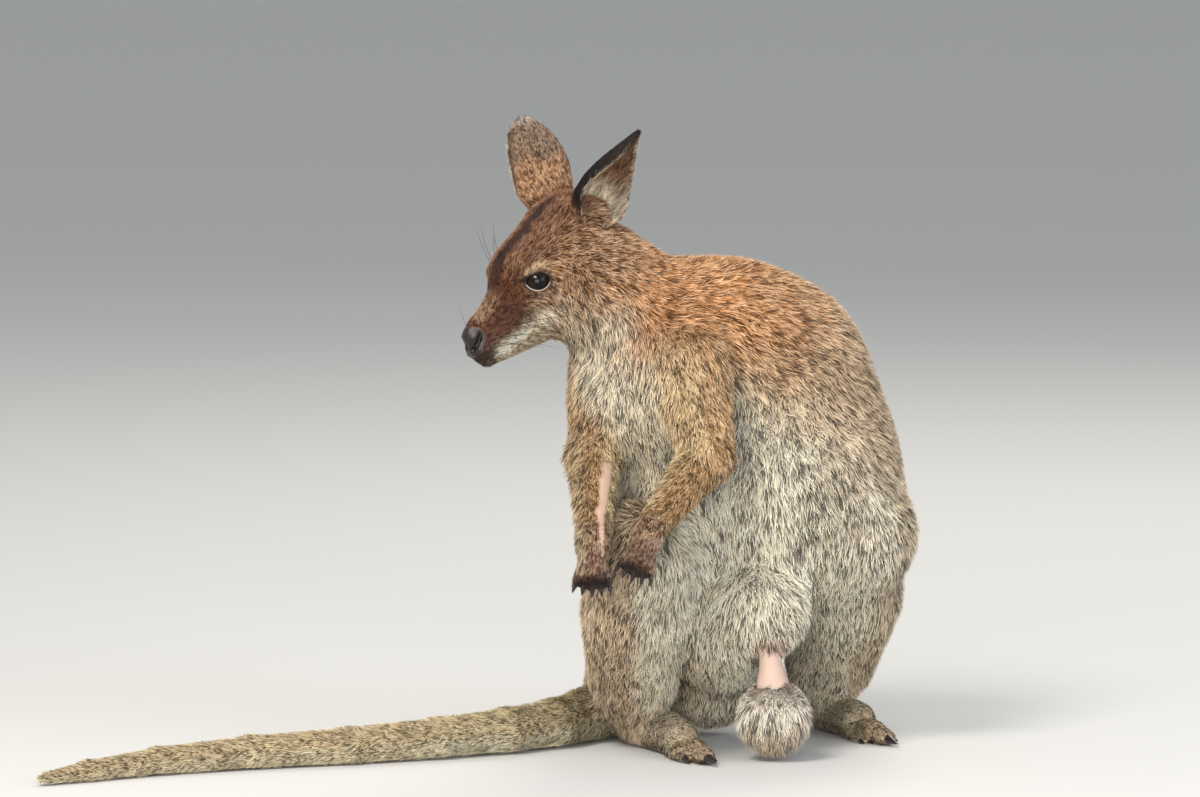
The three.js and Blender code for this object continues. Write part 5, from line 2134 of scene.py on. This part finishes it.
@dataclass(frozen=True)
class Whiskers:
    """Long stiff hairs on the lip and above the eyes."""

    rows: int = 3
    in_row: int = 5
    above_eye: int = 4
    longest: float = 52
    radius: float = 0.22

    def build(self, skin: Skin, place: Place) -> bpy.types.Object:
        """Plants the whiskers on both sides of the head.

        Args:
            skin: the finished skin.
            place: where the animal stands.

        Returns:
            One object of them all.
        """
        rng = np.random.default_rng(SEED + 1)
        hairs = []
        for side in Side:
            sign = side.value
            lip = [(r, k) for r in range(self.rows) for k in range(self.in_row)]
            spots = [(64 - 8 * k, 14, -20 - 4.5 * r, 1.0) for r, k in lip]
            spots += [(8 - 5 * k, 25, 19, 0.8) for k in range(self.above_eye)]
            for f, l, u, share in spots:
                wanted = HEAD.at(f + rng.uniform(-2, 2), sign * l, u + rng.uniform(-1, 1))
                nearest = int(np.linalg.norm(skin.points - wanted, axis=1).argmin())
                out = skin.normals[nearest]
                way = out * 0.8 - HEAD.forward * rng.uniform(0.35, 0.7)
                way = unit(way + HEAD.up * rng.uniform(-0.35, 0.2))
                length = self.longest * share * rng.uniform(0.55, 1)
                droop = -HEAD.forward * 0.7 - HEAD.up * 0.8
                start = skin.points[nearest]
                hairs.append(Horn(start, way, droop, length, self.radius, 0.05, 0.25))
        piece = joined_tubes("whiskers", hairs, 9, 5, place)
        set_colours(piece.data, "coat", np.tile(linear(Claws.COLOUR), (len(piece.data.vertices), 1)))
        Finish.dress(piece, WHISKER.material())
        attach(piece, "root")
        return piece


# ---------------------------------------------------------------- studio
@dataclass(frozen=True)
class Lamp:
    """A square soft light that points at the animal."""

    name: str
    offset: tuple[float, float, float]  # metres from the middle of the animal
    size: float  # metres
    power: float  # watts
    colour: str

    def hang(self, middle: Array) -> None:
        """Makes the light.

        Args:
            middle: the middle of the animal, in metres.
        """
        offset = vec(*self.offset)
        bpy.ops.object.light_add(type="AREA", location=middle + offset)
        lamp = bpy.context.object
        lamp.name = self.name
        lamp.data.size, lamp.data.energy = self.size, self.power
        lamp.data.color = linear(self.colour)
        lamp.rotation_euler = Vector(-offset).to_track_quat("-Z", "Y").to_euler()


@dataclass(frozen=True)
class Studio:
    """A pale floor, soft lights and a camera a little above the floor."""

    elevation: float = 5.5  # degrees
    distance: float = 9000
    aim: tuple[float, float, float] = (-130.5, 0, 317.8)
    lens: float = 300
    sensor: float = 36
    floor_size: float = 60  # metres
    sky: str = "eef0f2"
    sky_strength: float = 0.75

    LAMPS = (
        Lamp("key", (-1.3, -2.2, 2.6), 1.2, 140, "fff6ec"),
        Lamp("fill", (2.4, -1.6, 1.2), 2.0, 40, "eef3ff"),
        Lamp("low", (-0.3, -3.0, 0.15), 2.2, 125, "fff8ee"),
        Lamp("rim", (0.8, 2.4, 2.4), 1.6, 70, "fff8ee"),
    )

    def build(self, place: Place) -> None:
        """Sets the floor, the light and the camera.

        Args:
            place: where the animal stands.
        """
        deselect()
        bpy.ops.mesh.primitive_plane_add(size=self.floor_size)
        floor = bpy.context.object
        floor.name = "floor"
        Finish.dress(floor, self.paint())
        world = bpy.data.worlds.new("studio")
        bpy.context.scene.world = world
        world.use_nodes = True
        background = world.node_tree.nodes["Background"]
        background.inputs["Color"].default_value = (*linear(self.sky), 1)
        background.inputs["Strength"].default_value = self.sky_strength
        for lamp in self.LAMPS:
            lamp.hang(place.metres(vec(-60, 0, 260)))
        down = math.radians(self.elevation)
        ahead = vec(0, math.cos(down), -math.sin(down))
        where = place.metres(vec(*self.aim) - self.distance * ahead)
        bpy.ops.object.camera_add(location=where)
        camera = bpy.context.object
        camera.rotation_euler = (math.radians(90 - self.elevation), 0, 0)
        camera.data.lens = self.lens
        camera.data.sensor_width = self.sensor
        camera.data.clip_end = 200
        bpy.context.scene.camera = camera
        bpy.context.scene.view_settings.view_transform = "Standard"

    @staticmethod
    def paint() -> bpy.types.Material:
        """The floor's plain pale paint."""
        colour = (*linear("b2b3b2"), 1)
        return start_material("floor_paint", Base_Color=colour, Roughness=0.9)[0]


def main() -> None:
    """Builds the animal piece by piece."""
    logging.basicConfig(level=logging.INFO, format="%(name)s %(message)s")
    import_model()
    place, skin = Place(), Skin()
    pieces = [skin.build(place)]
    for side in Side:
        pieces += Eye(side).build(place) + Claws().build(side, place)
    pieces += Fur().build(skin, place)
    pieces.append(Whiskers().build(skin, place))
    for piece in pieces:
        LOG.info("%s: %d faces", piece.name, len(piece.data.polygons))
    Studio().build(place)


if __name__ == "__main__":
    main()
